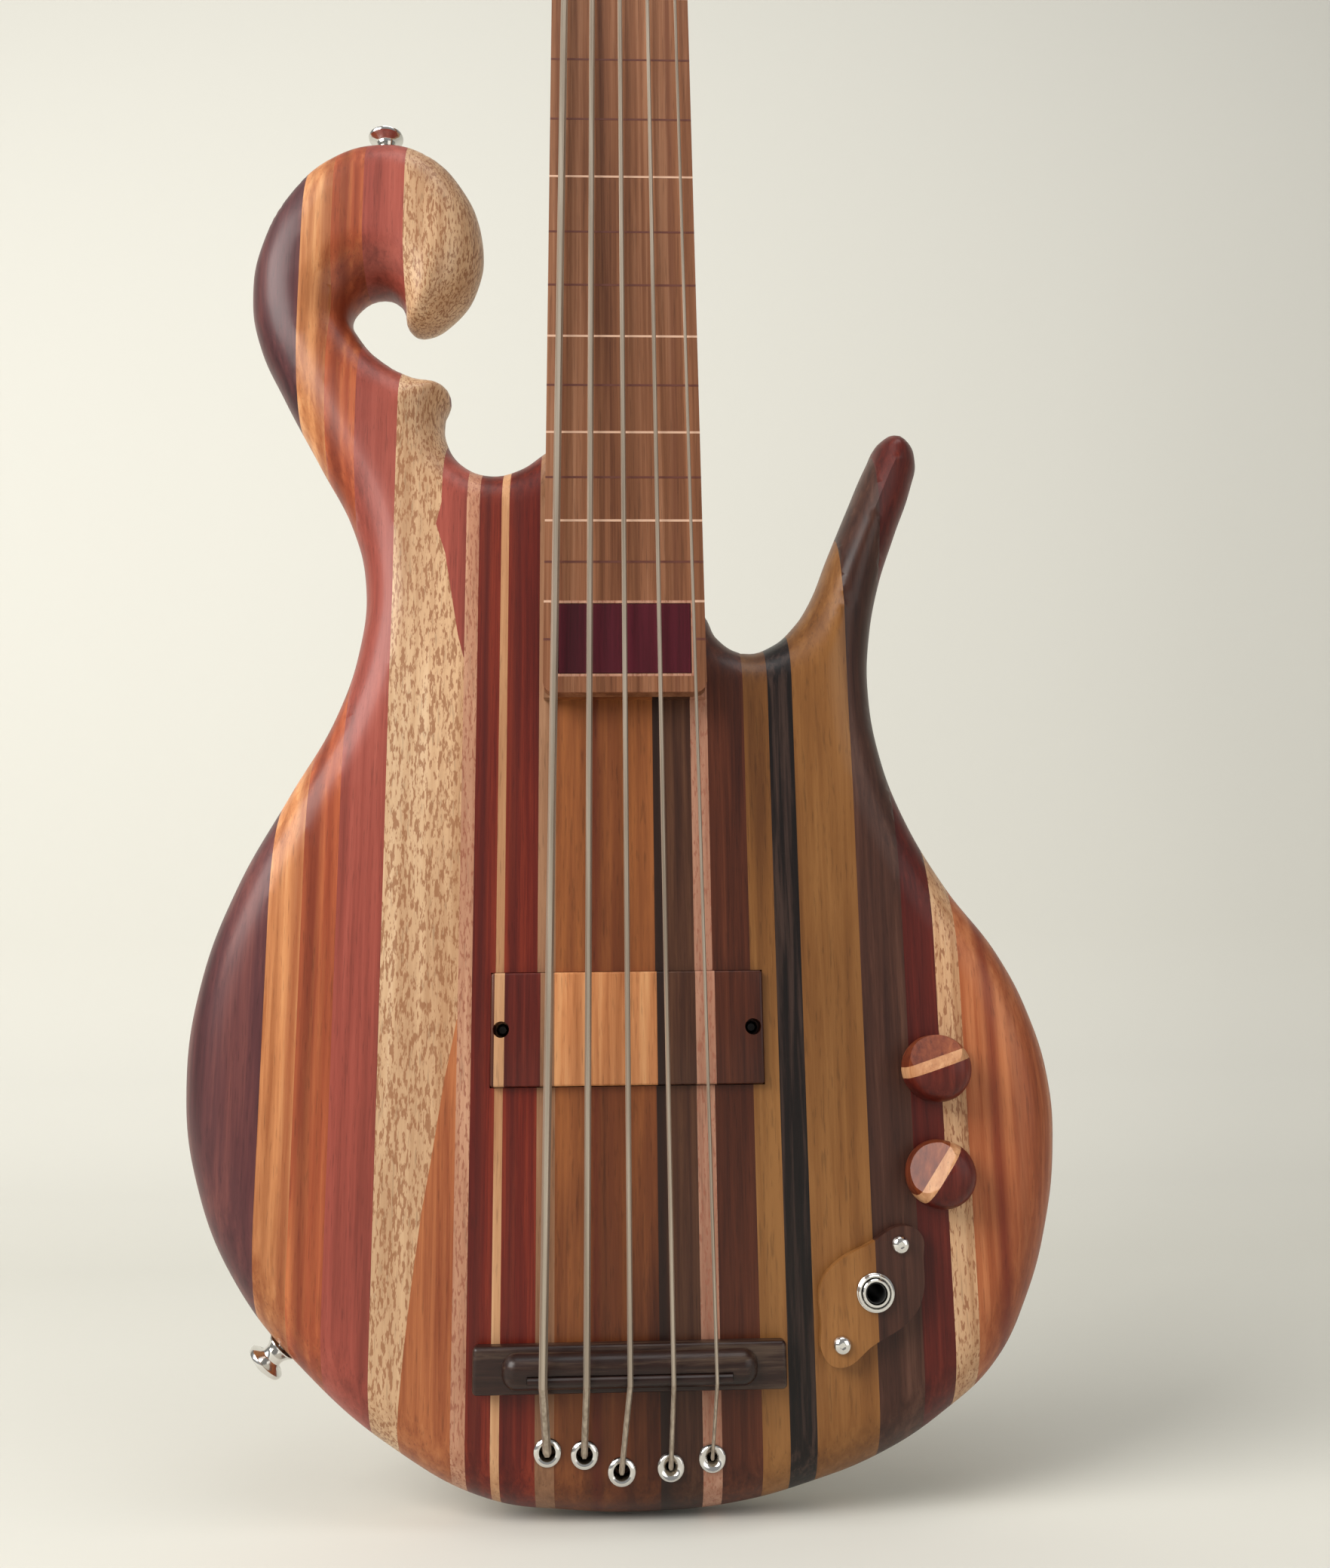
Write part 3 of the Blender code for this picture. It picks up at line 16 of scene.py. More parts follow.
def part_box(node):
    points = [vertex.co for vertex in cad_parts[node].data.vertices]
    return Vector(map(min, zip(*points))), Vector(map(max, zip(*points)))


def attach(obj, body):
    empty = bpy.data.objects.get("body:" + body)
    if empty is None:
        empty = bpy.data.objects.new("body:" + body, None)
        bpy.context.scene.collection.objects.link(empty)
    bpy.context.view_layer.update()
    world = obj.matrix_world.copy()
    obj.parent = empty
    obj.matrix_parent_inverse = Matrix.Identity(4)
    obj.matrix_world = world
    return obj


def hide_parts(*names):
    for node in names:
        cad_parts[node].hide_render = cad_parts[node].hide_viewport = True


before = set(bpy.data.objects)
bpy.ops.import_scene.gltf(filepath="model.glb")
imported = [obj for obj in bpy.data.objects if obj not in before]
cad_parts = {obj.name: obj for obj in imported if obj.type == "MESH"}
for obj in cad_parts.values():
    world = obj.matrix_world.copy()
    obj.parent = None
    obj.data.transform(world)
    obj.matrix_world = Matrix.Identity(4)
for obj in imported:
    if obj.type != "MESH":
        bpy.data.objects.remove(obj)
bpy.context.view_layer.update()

# Body blank
# Boards of many woods are glued side by side on the long neck, sawn to one outline and carved by
# hand, so that the edge is a full rounding and the strips run on over it to the back.
MM = 0.001
FIT = 0.3 * MM
FRONT = Vector((0, -1, 0))
BODY_OUTLINE = (
    (5, 0), (-20, 1), (-50, 5.5), (-82, 22), (-112, 46), (-139, 77), (-155, 112), (-160.5, 145),
    (-157.5, 182), (-146, 218), (-128, 253), (-112, 283), (-103.5, 312), (-102, 337),
    (-108, 362), (-122, 389), (-138, 419), (-149, 443), (-152.5, 463), (-150, 485),
    (-140, 508), (-123, 526), (-100, 533.5), (-82, 529.5), (-67, 515), (-58.5, 492),
    (-60, 473), (-69, 458), (-82, 450.2), (-88, 451.5), (-90, 458.5), (-94, 465),
    (-101, 467.8), (-108.5, 463.5), (-111.8, 455), (-107.5, 445), (-98, 434.5), (-85, 427),
    (-73.5, 424.2), (-70.4, 420), (-72.5, 411), (-71.5, 400), (-64, 388.5), (-53, 384),
    (-42, 386.5), (-32.8, 393), (-29, 396, 1), (29, 330, 1), (33, 323.5), (37, 315.5),
    (47, 309.5), (58, 312.5), (67, 320.5), (74, 331), (82, 350), (91, 371), (99.5, 390),
    (105, 399.5), (111, 402.3), (117, 399), (119.8, 391), (117.5, 380), (110, 360),
    (102, 337), (97.2, 314), (96, 294), (99, 269), (107, 244), (122, 216), (140, 191),
    (151, 167), (156.5, 143), (156.5, 120), (152, 94), (143, 68), (130, 46), (110, 29.5),
    (88, 17), (62, 8), (35, 2),
)
BODY_FRONT, BODY_BACK = -20 * MM, 20 * MM
EDGE_ROUND = 20 * MM
OUTLINE_STEPS = 12
FRAME_STEPS = 3
RING_SPACING = 2.2 * MM
RING_COUNT = 9


def new_object(name, data):
    obj = bpy.data.objects.new(name, data)
    bpy.context.scene.collection.objects.link(obj)
    return obj


def from_bmesh(name, bm, matrix=None):
    """An object with its place in its mesh and its own transform left at identity."""
    bmesh.ops.recalc_face_normals(bm, faces=bm.faces)
    if matrix is not None:
        bmesh.ops.transform(bm, matrix=matrix, verts=bm.verts)
    mesh = bpy.data.meshes.new(name)
    bm.to_mesh(mesh)
    bm.free()
    return new_object(name, mesh)


def as_mesh(obj):
    """Replaces an object with the mesh that its modifiers or its curve make, in world space."""
    bpy.context.view_layer.update()
    graph = bpy.context.evaluated_depsgraph_get()
    mesh = bpy.data.meshes.new_from_object(obj.evaluated_get(graph), depsgraph=graph)
    bm = bmesh.new()
    bm.from_mesh(mesh)
    bmesh.ops.remove_doubles(bm, verts=bm.verts, dist=0.001 * MM)
    name, matrix = obj.name, obj.matrix_world.copy()
    bpy.data.meshes.remove(mesh)
    bpy.data.objects.remove(obj, do_unlink=True)
    return from_bmesh(name, bm, matrix)


def curve_loop(name, anchors, steps):
    """Closed Bezier curve through anchors in millimetres, smooth except at the marked corners."""
    curve = bpy.data.curves.new(name, "CURVE")
    curve.dimensions = "2D"
    curve.resolution_u = steps
    curve.render_resolution_u = steps
    spline = curve.splines.new("BEZIER")
    spline.bezier_points.add(len(anchors) - 1)
    spline.use_cyclic_u = True
    for point, anchor in zip(spline.bezier_points, anchors):
        point.co = (anchor[0] * MM, anchor[1] * MM, 0)
    for point, anchor in zip(spline.bezier_points, anchors):
        handle = "VECTOR" if len(anchor) > 2 else "AUTO"
        point.handle_left_type = handle
        point.handle_right_type = handle
    return curve


def loop_points(name, anchors, steps):
    """Points of a curve loop in order, in metres."""
    obj = new_object(name, curve_loop(name, anchors, steps))
    bpy.context.view_layer.update()
    mesh = obj.evaluated_get(bpy.context.evaluated_depsgraph_get()).to_mesh()
    points = [(vert.co.x, vert.co.y) for vert in mesh.vertices]
    bpy.data.objects.remove(obj, do_unlink=True)
    return points


def loop_distance(points, loop):
    """Distance of each point from the closed loop of straight sides."""
    points = np.asarray(points)
    start = np.asarray(loop)[None, :, :]
    side = np.roll(start, -1, axis=1) - start
    length = np.sum(side * side, axis=2)
    found = []
    for chunk in np.array_split(points, max(1, len(points) // 2000)):
        chunk = chunk[:, None, :]
        share = np.clip(np.sum((chunk - start) * side, axis=2) / length, 0, 1)
        off = chunk - start - share[..., None] * side
        found.append(np.min(np.linalg.norm(off, axis=2), axis=1))
    return np.concatenate(found)


def inset_points(loop, inset, spacing):
    """Points the same distance in from the loop, left out where the loop is too narrow."""
    loop = np.asarray(loop)
    along = np.roll(loop, -1, axis=0) - np.roll(loop, 1, axis=0)
    along /= np.linalg.norm(along, axis=1)[:, None]
    moved = loop + inset * np.stack([along[:, 1], -along[:, 0]], axis=1)
    moved = moved[loop_distance(moved, loop) > 0.93 * inset]
    kept, cells = [], {}
    for point in moved:
        cell = tuple(np.floor(point / spacing).astype(int))
        close = [
            other for dx in (-1, 0, 1) for dy in (-1, 0, 1)
            for other in cells.get((cell[0] + dx, cell[1] + dy), ())
        ]
        if all(np.linalg.norm(point - other) > spacing for other in close):
            kept.append(tuple(point))
            cells.setdefault(cell, []).append(point)
    return kept


def carved_depth(distance):
    """Half the body's thickness at a distance in from its outline: a quarter ellipse."""
    share = min(distance / EDGE_ROUND, 1)
    return BODY_BACK * math.sqrt(1 - (1 - share) ** 2)


def body_blank():
    """The body as one piece, with rings of points that follow the rounding of its edge."""
    loop = loop_points("outline", BODY_OUTLINE, OUTLINE_STEPS)
    inner = []
    for ring in range(1, RING_COUNT + 1):
        inset = EDGE_ROUND * (1 - math.cos(math.pi / 2 * ring / RING_COUNT))
        inner += inset_points(loop, inset, min(RING_SPACING, 0.6 * inset + 0.5 * MM))
    flat = [Vector(point) for point in loop + inner]
    points, _edges, faces = delaunay_2d_cdt(flat, [], [range(len(loop))], 1, 0.001 * MM)[:3]
    distances = loop_distance([tuple(point) for point in points], loop)
    distances[distances < 0.01 * MM] = 0
    bm = bmesh.new()
    sheets = [
        [
            bm.verts.new((point.x, side * carved_depth(distance), point.y))
            for point, distance in zip(points, distances)
        ]
        for side in (-1, 1)
    ]
    for face in faces:
        if all(distances[index] == 0 for index in face):
            continue
        bm.faces.new([sheets[0][index] for index in face])
        bm.faces.new([sheets[1][index] for index in reversed(face)])
    bmesh.ops.remove_doubles(bm, verts=bm.verts, dist=0.001 * MM)
    holes = [edge for edge in bm.edges if edge.is_boundary]
    bmesh.ops.holes_fill(bm, edges=holes, sides=0)
    return from_bmesh("body_blank", bm)


# Neck blank
# The four middle boards run through the whole body and on as the neck, which is flat under the
# fingerboard and shaved round behind. The heel is carved into the body without a step.
BOARD_LOW, BOARD_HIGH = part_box("fingerboard")
BOARD_END, BOARD_TOP = BOARD_LOW.z, BOARD_LOW.y
BOARD_BOTTOM = BOARD_HIGH.y + FIT
BOARD_WIDTH_AT_END, BOARD_WIDTH_AT_NUT = 60.8 * MM, 51.4 * MM
NUT_Z = BOARD_HIGH.z + FIT
NUT_TOP = NUT_Z + 5 * MM
HEEL_START, HEEL_END = 335 * MM, 455 * MM
HEEL_DEPTH, NECK_TAPER = 18.5 * MM, 3 * MM
HEEL_STEPS, NECK_STEPS, SECTION_STEPS = 24, 12, 40
HEAD_ANGLE = math.radians(10)


def eased(start, end, share):
    share = min(max(share, 0), 1)
    return start + (end - start) * share * share * (3 - 2 * share)


def board_width(z):
    share = (z - BOARD_END) / (NUT_Z - BOARD_END)
    return BOARD_WIDTH_AT_END + (BOARD_WIDTH_AT_NUT - BOARD_WIDTH_AT_END) * share


def neck_section(z):
    """Points of the neck's cross-section at a height: flat on top, round behind."""
    half_width = board_width(min(z, NUT_Z)) / 2
    fall = max(z - NUT_TOP, 0)
    top = BOARD_BOTTOM + fall * math.tan(HEAD_ANGLE) + (FIT if fall else 0)
    along = max((z - HEEL_END) / (NUT_Z - HEEL_END), 0)
    heel = (z - HEEL_START) / (HEEL_END - HEEL_START)
    back = eased(BODY_BACK - 1 * MM, BOARD_BOTTOM + HEEL_DEPTH - NECK_TAPER * along, heel)
    power = 2 / eased(9, 2.3, heel)
    section = []
    for step in range(SECTION_STEPS + 1):
        angle = math.pi * step / SECTION_STEPS
        across = math.copysign(abs(math.cos(angle)) ** power, math.cos(angle))
        down = math.sin(angle) ** power if 0 < step < SECTION_STEPS else 0
        section.append((half_width * across, top + (back - top) * down, z))
    return section


def neck_blank():
    """The neck, bridged through its cross-sections."""
    heights = [BOARD_END, HEEL_START]
    for start, end, steps in ((HEEL_START, HEEL_END, HEEL_STEPS), (HEEL_END, NUT_Z, NECK_STEPS)):
        heights += [start + (end - start) * (step + 1) / steps for step in range(steps)]
    heights += [NUT_TOP, NUT_TOP + 14 * MM]
    bm = bmesh.new()
    loops = []
    for z in heights:
        verts = [bm.verts.new(point) for point in neck_section(z)]
        loops.append([bm.edges.new(pair) for pair in zip(verts, verts[1:] + verts[:1])])
    for low, high in zip(loops, loops[1:]):
        bmesh.ops.bridge_loops(bm, edges=low + high)
    bmesh.ops.holes_fill(bm, edges=[edge for edge in bm.edges if edge.is_boundary], sides=0)
    return from_bmesh("neck_blank", bm)


# Headstock blank
# The neck boards go on into a headstock that is tipped back by ten degrees, and a side piece on
# each edge makes up its width. It lies above the photograph, so its form is a usual one.
HEAD_OUTLINE = (
    (-25.7, 0, 1), (-26.5, 8), (-33, 22), (-42, 38), (-45.5, 62), (-45, 100), (-44, 135),
    (-39, 163), (-25, 183), (-6, 192), (12, 187), (26, 170), (36, 148), (43, 122), (45, 90),
    (44, 60), (40, 38), (32, 22), (26.5, 8), (25.7, 0, 1),
)
HEAD_THICKNESS = 16 * MM
HEAD_FRAME = (
    Matrix.Translation((0, BOARD_BOTTOM, NUT_TOP)) @ Matrix.Rotation(-HEAD_ANGLE, 4, "X")
)


def plate(name, curve, front, back, place=None):
    """A flat piece with the curve as its outline, between two depths along Y."""
    curve.fill_mode = "BOTH"
    curve.extrude = (back - front) / 2
    obj = new_object(name, curve)
    upright = Matrix.Translation((0, (front + back) / 2, 0)) @ Matrix.Rotation(math.pi / 2, 4, "X")
    obj.matrix_world = place @ upright if place else upright
    return as_mesh(obj)


def eased_edges(obj, width, segments=3, degrees=60):
    """The piece with its sharp edges broken."""
    modifier = obj.modifiers.new("Bevel", "BEVEL")
    modifier.width = width
    modifier.segments = segments
    modifier.limit_method = "ANGLE"
    modifier.angle_limit = math.radians(degrees)
    return as_mesh(obj)


def head_blank():
    outline = curve_loop("head_blank", HEAD_OUTLINE, 8)
    head = eased_edges(plate("head_blank", outline, 0, HEAD_THICKNESS), 1.5 * MM)
    head.data.transform(HEAD_FRAME)
    return head


# Holes and hollows in the wood
# The pickup pocket is routed from the front and the control cavity from the back. The knob
# shafts, the jack, the strings and the tuner posts go through drilled holes.
STRING_NAMES = ("b", "e", "a", "d", "g")
CAVITY_CIRCLES = (
    (84 * MM, 74 * MM, 17 * MM), (107 * MM, 112 * MM, 18 * MM), (107 * MM, 150 * MM, 18 * MM),
)
COVER_THICKNESS, COVER_LEDGE = 2.7 * MM, 6 * MM
BEYOND = 9 * MM


def centre(node):
    low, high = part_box(node)
    return (low + high) / 2


def box(name, low, high, bevel=0, segments=3):
    low, high = Vector(low), Vector(high)
    bm = bmesh.new()
    bmesh.ops.create_cube(bm, size=1)
    bmesh.ops.scale(bm, vec=high - low, verts=bm.verts)
    if bevel:
        bmesh.ops.bevel(
            bm, geom=bm.edges[:], offset=bevel, segments=segments, affect="EDGES", profile=0.5,
            material=-1,
        )
    return from_bmesh(name, bm, Matrix.Translation((low + high) / 2))


def axis_frame(origin, axis):
    """Frame at the origin whose Z axis points along the axis."""
    turn = Vector((0, 0, 1)).rotation_difference(Vector(axis)).to_matrix().to_4x4()
    return Matrix.Translation(origin) @ turn


def rod(name, radius, start, end, sides=32):
    start, end = Vector(start), Vector(end)
    bm = bmesh.new()
    bmesh.ops.create_cone(
        bm, cap_ends=True, segments=sides, radius1=radius, radius2=radius,
        depth=(end - start).length,
    )
    return from_bmesh(name, bm, axis_frame((start + end) / 2, end - start))


def polygon_curve(name, points):
    curve = bpy.data.curves.new(name, "CURVE")
    curve.dimensions = "2D"
    spline = curve.splines.new("POLY")
    spline.points.add(len(points) - 1)
    spline.use_cyclic_u = True
    for point, spot in zip(spline.points, points):
        point.co = (spot[0], spot[1], 0, 1)
    return curve


def hull_curve(name, circles, grow, steps=64):
    """Outline of the convex hull of circles, each grown by the same amount."""
    points = []
    for across, up, radius in circles:
        for step in range(steps):
            angle = 2 * math.pi * step / steps
            reach = radius + grow
            points.append((across + reach * math.cos(angle), up + reach * math.sin(angle)))
    return polygon_curve(name, [points[index] for index in convex_hull_2d(points)])


def cut(target, cutters, operation="DIFFERENCE"):
    """Target after each cutter, with the cutters removed."""
    for cutter in cutters:
        modifier = target.modifiers.new(operation.title(), "BOOLEAN")
        modifier.operation = operation
        modifier.solver = "EXACT"
        modifier.object = cutter
    target = as_mesh(target)
    for cutter in cutters:
        bpy.data.objects.remove(cutter, do_unlink=True)
    return target


def drilled(node, radius, depth, sides=32):
    """Cutter in from the front at a node's place."""
    spot = centre(node)
    start = (spot.x, BODY_FRONT - BEYOND, spot.z)
    return rod("hole", radius, start, (spot.x, BODY_FRONT + depth, spot.z), sides)


def wood_cutters():
    low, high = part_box("pickup_cover")
    pocket_low = (low.x - FIT, low.y - FIT, low.z - FIT)
    pocket_high = (high.x + FIT, BODY_FRONT + 18 * MM, high.z + FIT)
    ledge = hull_curve("recess", CAVITY_CIRCLES, COVER_LEDGE + FIT)
    cutters = [
        box("pocket", pocket_low, pocket_high),
        plate(
            "cavity", hull_curve("cavity", CAVITY_CIRCLES, 0), BODY_FRONT + 9 * MM,
            BODY_BACK + BEYOND,
        ),
        plate("recess", ledge, BODY_BACK - COVER_THICKNESS - FIT, BODY_BACK + BEYOND),
        drilled("volume_knob", 5.2 * MM, 10 * MM),
        drilled("tone_knob", 5.2 * MM, 10 * MM),
        drilled("jack_socket", 10.5 * MM, 10 * MM),
    ]
    out = HEAD_FRAME.to_3x3() @ FRONT
    for name in STRING_NAMES:
        ferrule, post = f"string_ferrule_{name}", centre(f"tuner_post_{name}")
        spot = centre(ferrule)
        ball_seat = (spot.x, BODY_BACK - 7 * MM, spot.z)
        cutters.append(drilled(ferrule, 2 * MM, 40 * MM + BEYOND, 16))
        cutters.append(drilled(ferrule, 4.3 * MM, 8 * MM))
        cutters.append(rod("hole", 3.25 * MM, ball_seat, (spot.x, BODY_BACK + BEYOND, spot.z)))
        cutters.append(rod("hole", 6.4 * MM, post - 40 * MM * out, post + 40 * MM * out))
    return cutters


BLANK = cut(cut(body_blank(), [neck_blank(), head_blank()], "UNION"), wood_cutters())

# Bass wing strips
# Purple, amber, rust and rose boards from the edge inwards, then a wide speckled board with a thin
# wedge let into it at each end, and a pale line. All are glued, sanded together and oiled.
UPPER_WEDGE = ((-61, 303), (-63.3, 312), (-66.3, 330), (-68.8, 345), (-72.6, 357), (-70.6, 366))
LOWER_WEDGE = (
    (-61, 168), (-63, 157), (-65, 147), (-69, 120), (-72, 102), (-75, 77), (-77, 57), (-79, 30),
)
SCROLL_TOP = 440 * MM
OUTSIDE = 200


def paint(red, green, blue):
    """A colour given in 0 to 255 steps, as the shader wants it."""
    return tuple(
        level / 12.92 if level <= 0.04045 else ((level + 0.055) / 1.055) ** 2.4
        for level in (red / 255, green / 255, blue / 255)
    )


class Shader:
    """Builds one material, node by node."""

    def __init__(self, name, roughness=0.4, metallic=0.0, coat=0.0, specular=0.5):
        self.material = bpy.data.materials.new(name)
        self.material.use_nodes = True
        self.tree = self.material.node_tree
        self.main = self.tree.nodes["Principled BSDF"]
        self.main.inputs["Roughness"].default_value = roughness
        self.main.inputs["Metallic"].default_value = metallic
        self.main.inputs["Coat Weight"].default_value = coat
        self.main.inputs["Coat Roughness"].default_value = 0.22
        self.main.inputs["Specular IOR Level"].default_value = specular
        self.place = self.add("ShaderNodeTexCoord").outputs["Object"]

    def add(self, kind, **values):
        node = self.tree.nodes.new(kind)
        for key, value in values.items():
            setattr(node, key, value)
        return node

    def link(self, source, target):
        self.tree.links.new(source, target)

    def noise(self, scale, detail=4.0, roughness=0.55, distortion=0.0, shift=(0, 0, 0)):
        """Noise in metres: scale holds cycles per metre along each axis."""
        mapping = self.add("ShaderNodeMapping")
        mapping.inputs["Scale"].default_value = scale
        mapping.inputs["Location"].default_value = shift
        self.link(self.place, mapping.inputs["Vector"])
        node = self.add("ShaderNodeTexNoise")
        node.inputs["Scale"].default_value = 1
        node.inputs["Detail"].default_value = detail
        node.inputs["Roughness"].default_value = roughness
        node.inputs["Distortion"].default_value = distortion
        self.link(mapping.outputs["Vector"], node.inputs["Vector"])
        return node.outputs["Fac"]

    def ramp(self, value, stops):
        """Colours along a 0 to 1 value. Each stop is a place and a colour."""
        node = self.add("ShaderNodeValToRGB")
        elements = node.color_ramp.elements
        while len(elements) > 1:
            elements.remove(elements[-1])
        elements[0].position = stops[0][0]
        elements[0].color = (*stops[0][1], 1)
        for position, color in stops[1:]:
            elements.new(position).color = (*color, 1)
        self.link(value, node.inputs["Fac"])
        return node.outputs["Color"]

    def grey(self, value, stops):
        return self.ramp(value, [(spot, (level,) * 3) for spot, level in stops])

    def mix(self, share, first, second, mode="MIX"):
        node = self.add("ShaderNodeMix", data_type="RGBA", blend_type=mode)
        sockets = (node.inputs[0], node.inputs[6], node.inputs[7])
        for socket, value in zip(sockets, (share, first, second)):
            if isinstance(value, (int, float)):
                socket.default_value = value
            elif isinstance(value, tuple):
                socket.default_value = (*value, 1)
            else:
                self.link(value, socket)
        return node.outputs[2]

    def math(self, operation, *values):
        node = self.add("ShaderNodeMath", operation=operation)
        for socket, value in zip(node.inputs, values):
            if isinstance(value, (int, float)):
                socket.default_value = value
            else:
                self.link(value, socket)
        return node.outputs["Value"]

    def vein(self, across, half_width, sway, shift):
        """1 on a line along the grain at a place across, 0 beside it, with a swaying course."""
        split = self.add("ShaderNodeSeparateXYZ")
        self.link(self.place, split.inputs["Vector"])
        wave = self.noise((12, 12, 9), 3, 0.5, 0.0, shift)
        moved = self.math("MULTIPLY_ADD", wave, 4 * sway, split.outputs["X"])
        off = self.math("ABSOLUTE", self.math("SUBTRACT", moved, across + 2 * sway))
        return self.grey(
            self.math("DIVIDE", off, 2 * half_width), [(0.0, 1.0), (0.35, 0.8), (1.0, 0.0)],
        )

    def bump(self, height, strength, distance):
        node = self.add("ShaderNodeBump")
        node.inputs["Strength"].default_value = strength
        node.inputs["Distance"].default_value = distance
        self.link(height, node.inputs["Height"])
        self.link(node.outputs["Normal"], self.main.inputs["Normal"])

    def color(self, value):
        if isinstance(value, tuple):
            self.main.inputs["Base Color"].default_value = (*value, 1)
        else:
            self.link(value, self.main.inputs["Base Color"])
        return self.material


def wood(
    name, dark, middle, light, seed, grain=90, length=5, streak=0.5, flecks=None, veins=(),
    lengthwise=2, gloss=0.12, roughness=0.42, relief=0.05,
):
    """Oiled wood: three tones along its grain, pores, and flecks and veins where it has them."""
    shader = Shader(name, roughness=roughness, coat=gloss, specular=0.24)
    shift = (seed, seed * 1.7, seed * 0.3)

    def stretched(across, along):
        scale = [across] * 3
        scale[lengthwise] = along
        return tuple(scale)

    broad = shader.noise(stretched(grain * 0.45, length * 0.5), 3, 0.5, 0.6, shift)
    fine = shader.noise(stretched(grain * 4, length * 2.2), 6, 0.65, 0.3, shift)
    tone = shader.ramp(
        shader.mix(streak, broad, fine),
        [(0.37, paint(*dark)), (0.5, paint(*middle)), (0.63, paint(*light))],
    )
    for across, half_width, sway, strength, color in veins:
        line = shader.vein(across * MM, half_width * MM, sway * MM, shift)
        tone = shader.mix(shader.math("MULTIPLY", line, strength), tone, paint(*color))
    drift = shader.noise(stretched(16, 4), 2, 0.5, 0.0, shift)
    tone = shader.mix(1.0, tone, shader.grey(drift, [(0.35, 0.80), (0.62, 1.0)]), "MULTIPLY")
    pores = shader.noise(stretched(grain * 18, length * 22), 2, 0.5, 0.0, shift)
    tone = shader.mix(0.5, tone, shader.grey(pores, [(0.30, 0.5), (0.42, 1.0)]), "MULTIPLY")
    if flecks:
        color, share = flecks
        spots = shader.noise(stretched(1150, 270), 2, 0.6, 0.0, shift)
        mask = shader.grey(spots, [(share - 0.05, 0.75), (share + 0.03, 0.0)])
        tone = shader.mix(mask, tone, paint(*color))
    shader.bump(fine, relief, 0.3 * MM)
    return shader.color(tone)


def smooth(obj, degrees=35):
    obj.data.shade_smooth()
    obj.data.set_sharp_from_angle(angle=math.radians(degrees))
    return obj


def place_piece(obj, material, nodes=(), body="guitar", angle=35):
    """Gives a finished piece its material, its body and the nodes that it stands for."""
    obj.data.materials.clear()
    obj.data.materials.append(material)
    smooth(obj, angle)
    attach(obj, body)
    if nodes:
        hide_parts(*nodes)
    return obj


def copied(obj, name):
    return new_object(name, obj.data.copy())


def slab(low_x, high_x, low_z=-100 * MM, high_z=600 * MM):
    return box("slab", (low_x * MM, -0.2, low_z), (high_x * MM, 0.2, high_z))


def strip(name, material, node, keeper):
    """What the blank has inside the keeper, as one strip of wood."""
    piece = cut(copied(BLANK, name), [keeper], "INTERSECT")
    return place_piece(piece, material, [node], angle=50)


def wedge_cutter(edge, far_z):
    start_x = (edge[0][0] + 0.2) * MM
    points = [(across * MM, up * MM) for across, up in edge]
    points += [(edge[-1][0] * MM, far_z), (start_x, far_z), (start_x, edge[0][1] * MM)]
    return plate("wedge_cutter", polygon_curve("wedge_cutter", points), -0.2, 0.2)


PURPLE = wood("purple wood", (58, 30, 34), (84, 44, 46), (112, 62, 58), 1, streak=0.4)
AMBER = wood(
    "amber wood", (150, 84, 44), (196, 130, 82), (222, 166, 114), 2, streak=0.45,
    veins=((-119.5, 1.6, 0.8, 0.6, (128, 52, 24)), (-126, 0.9, 0.7, 0.35, (140, 78, 40))),
)
RUST = wood(
    "rust wood", (122, 50, 26), (168, 84, 50), (204, 124, 74), 3, streak=0.35,
    veins=((-113.5, 1.8, 1.2, 0.7, (104, 34, 16)), (-108.5, 1.0, 1.0, 0.5, (126, 46, 24))),
)
ROSE = wood("rose wood", (118, 52, 42), (146, 68, 56), (166, 84, 70), 4, grain=120, streak=0.4)
SPECKLED = wood(
    "speckled wood", (176, 134, 98), (208, 170, 132), (226, 194, 158), 5, grain=60, streak=0.4,
    flecks=((134, 84, 52), 0.47), relief=0.12,
)
WEDGE = wood("wedge wood", (128, 62, 34), (168, 100, 60), (196, 134, 88), 6, streak=0.4)
PALE = wood(
    "pale wood", (150, 98, 76), (178, 126, 98), (198, 150, 120), 7, flecks=((136, 78, 58), 0.44),
)
strip("purple_strip", PURPLE, "bass_wing", slab(-OUTSIDE, -129.8))
strip("amber_strip", AMBER, "bass_wing", slab(-129.8, -117.8))
strip("rust_strip", RUST, "bass_wing", slab(-117.8, -105.3))
strip("rose_strip", ROSE, "bass_wing", slab(-105.3, -88.8))
speckled = cut(copied(BLANK, "speckled_strip"), [slab(-88.8, -60.8)], "INTERSECT")
for name, material, edge, far_z in (
    ("upper_wedge", ROSE, UPPER_WEDGE, 430 * MM), ("lower_wedge", WEDGE, LOWER_WEDGE, -10 * MM),
):
    wedge = cut(copied(speckled, name), [wedge_cutter(edge, far_z)], "INTERSECT")
    place_piece(wedge, material, ["bass_wing"], angle=50)
    speckled = cut(speckled, [wedge_cutter(edge, far_z)])
place_piece(speckled, SPECKLED, ["bass_wing"], angle=50)
strip("scroll_end", SPECKLED, "bass_wing", slab(-60.8, -55.9, SCROLL_TOP))
strip("pale_strip", PALE, "bass_wing", slab(-60.8, -55.8, high_z=SCROLL_TOP))

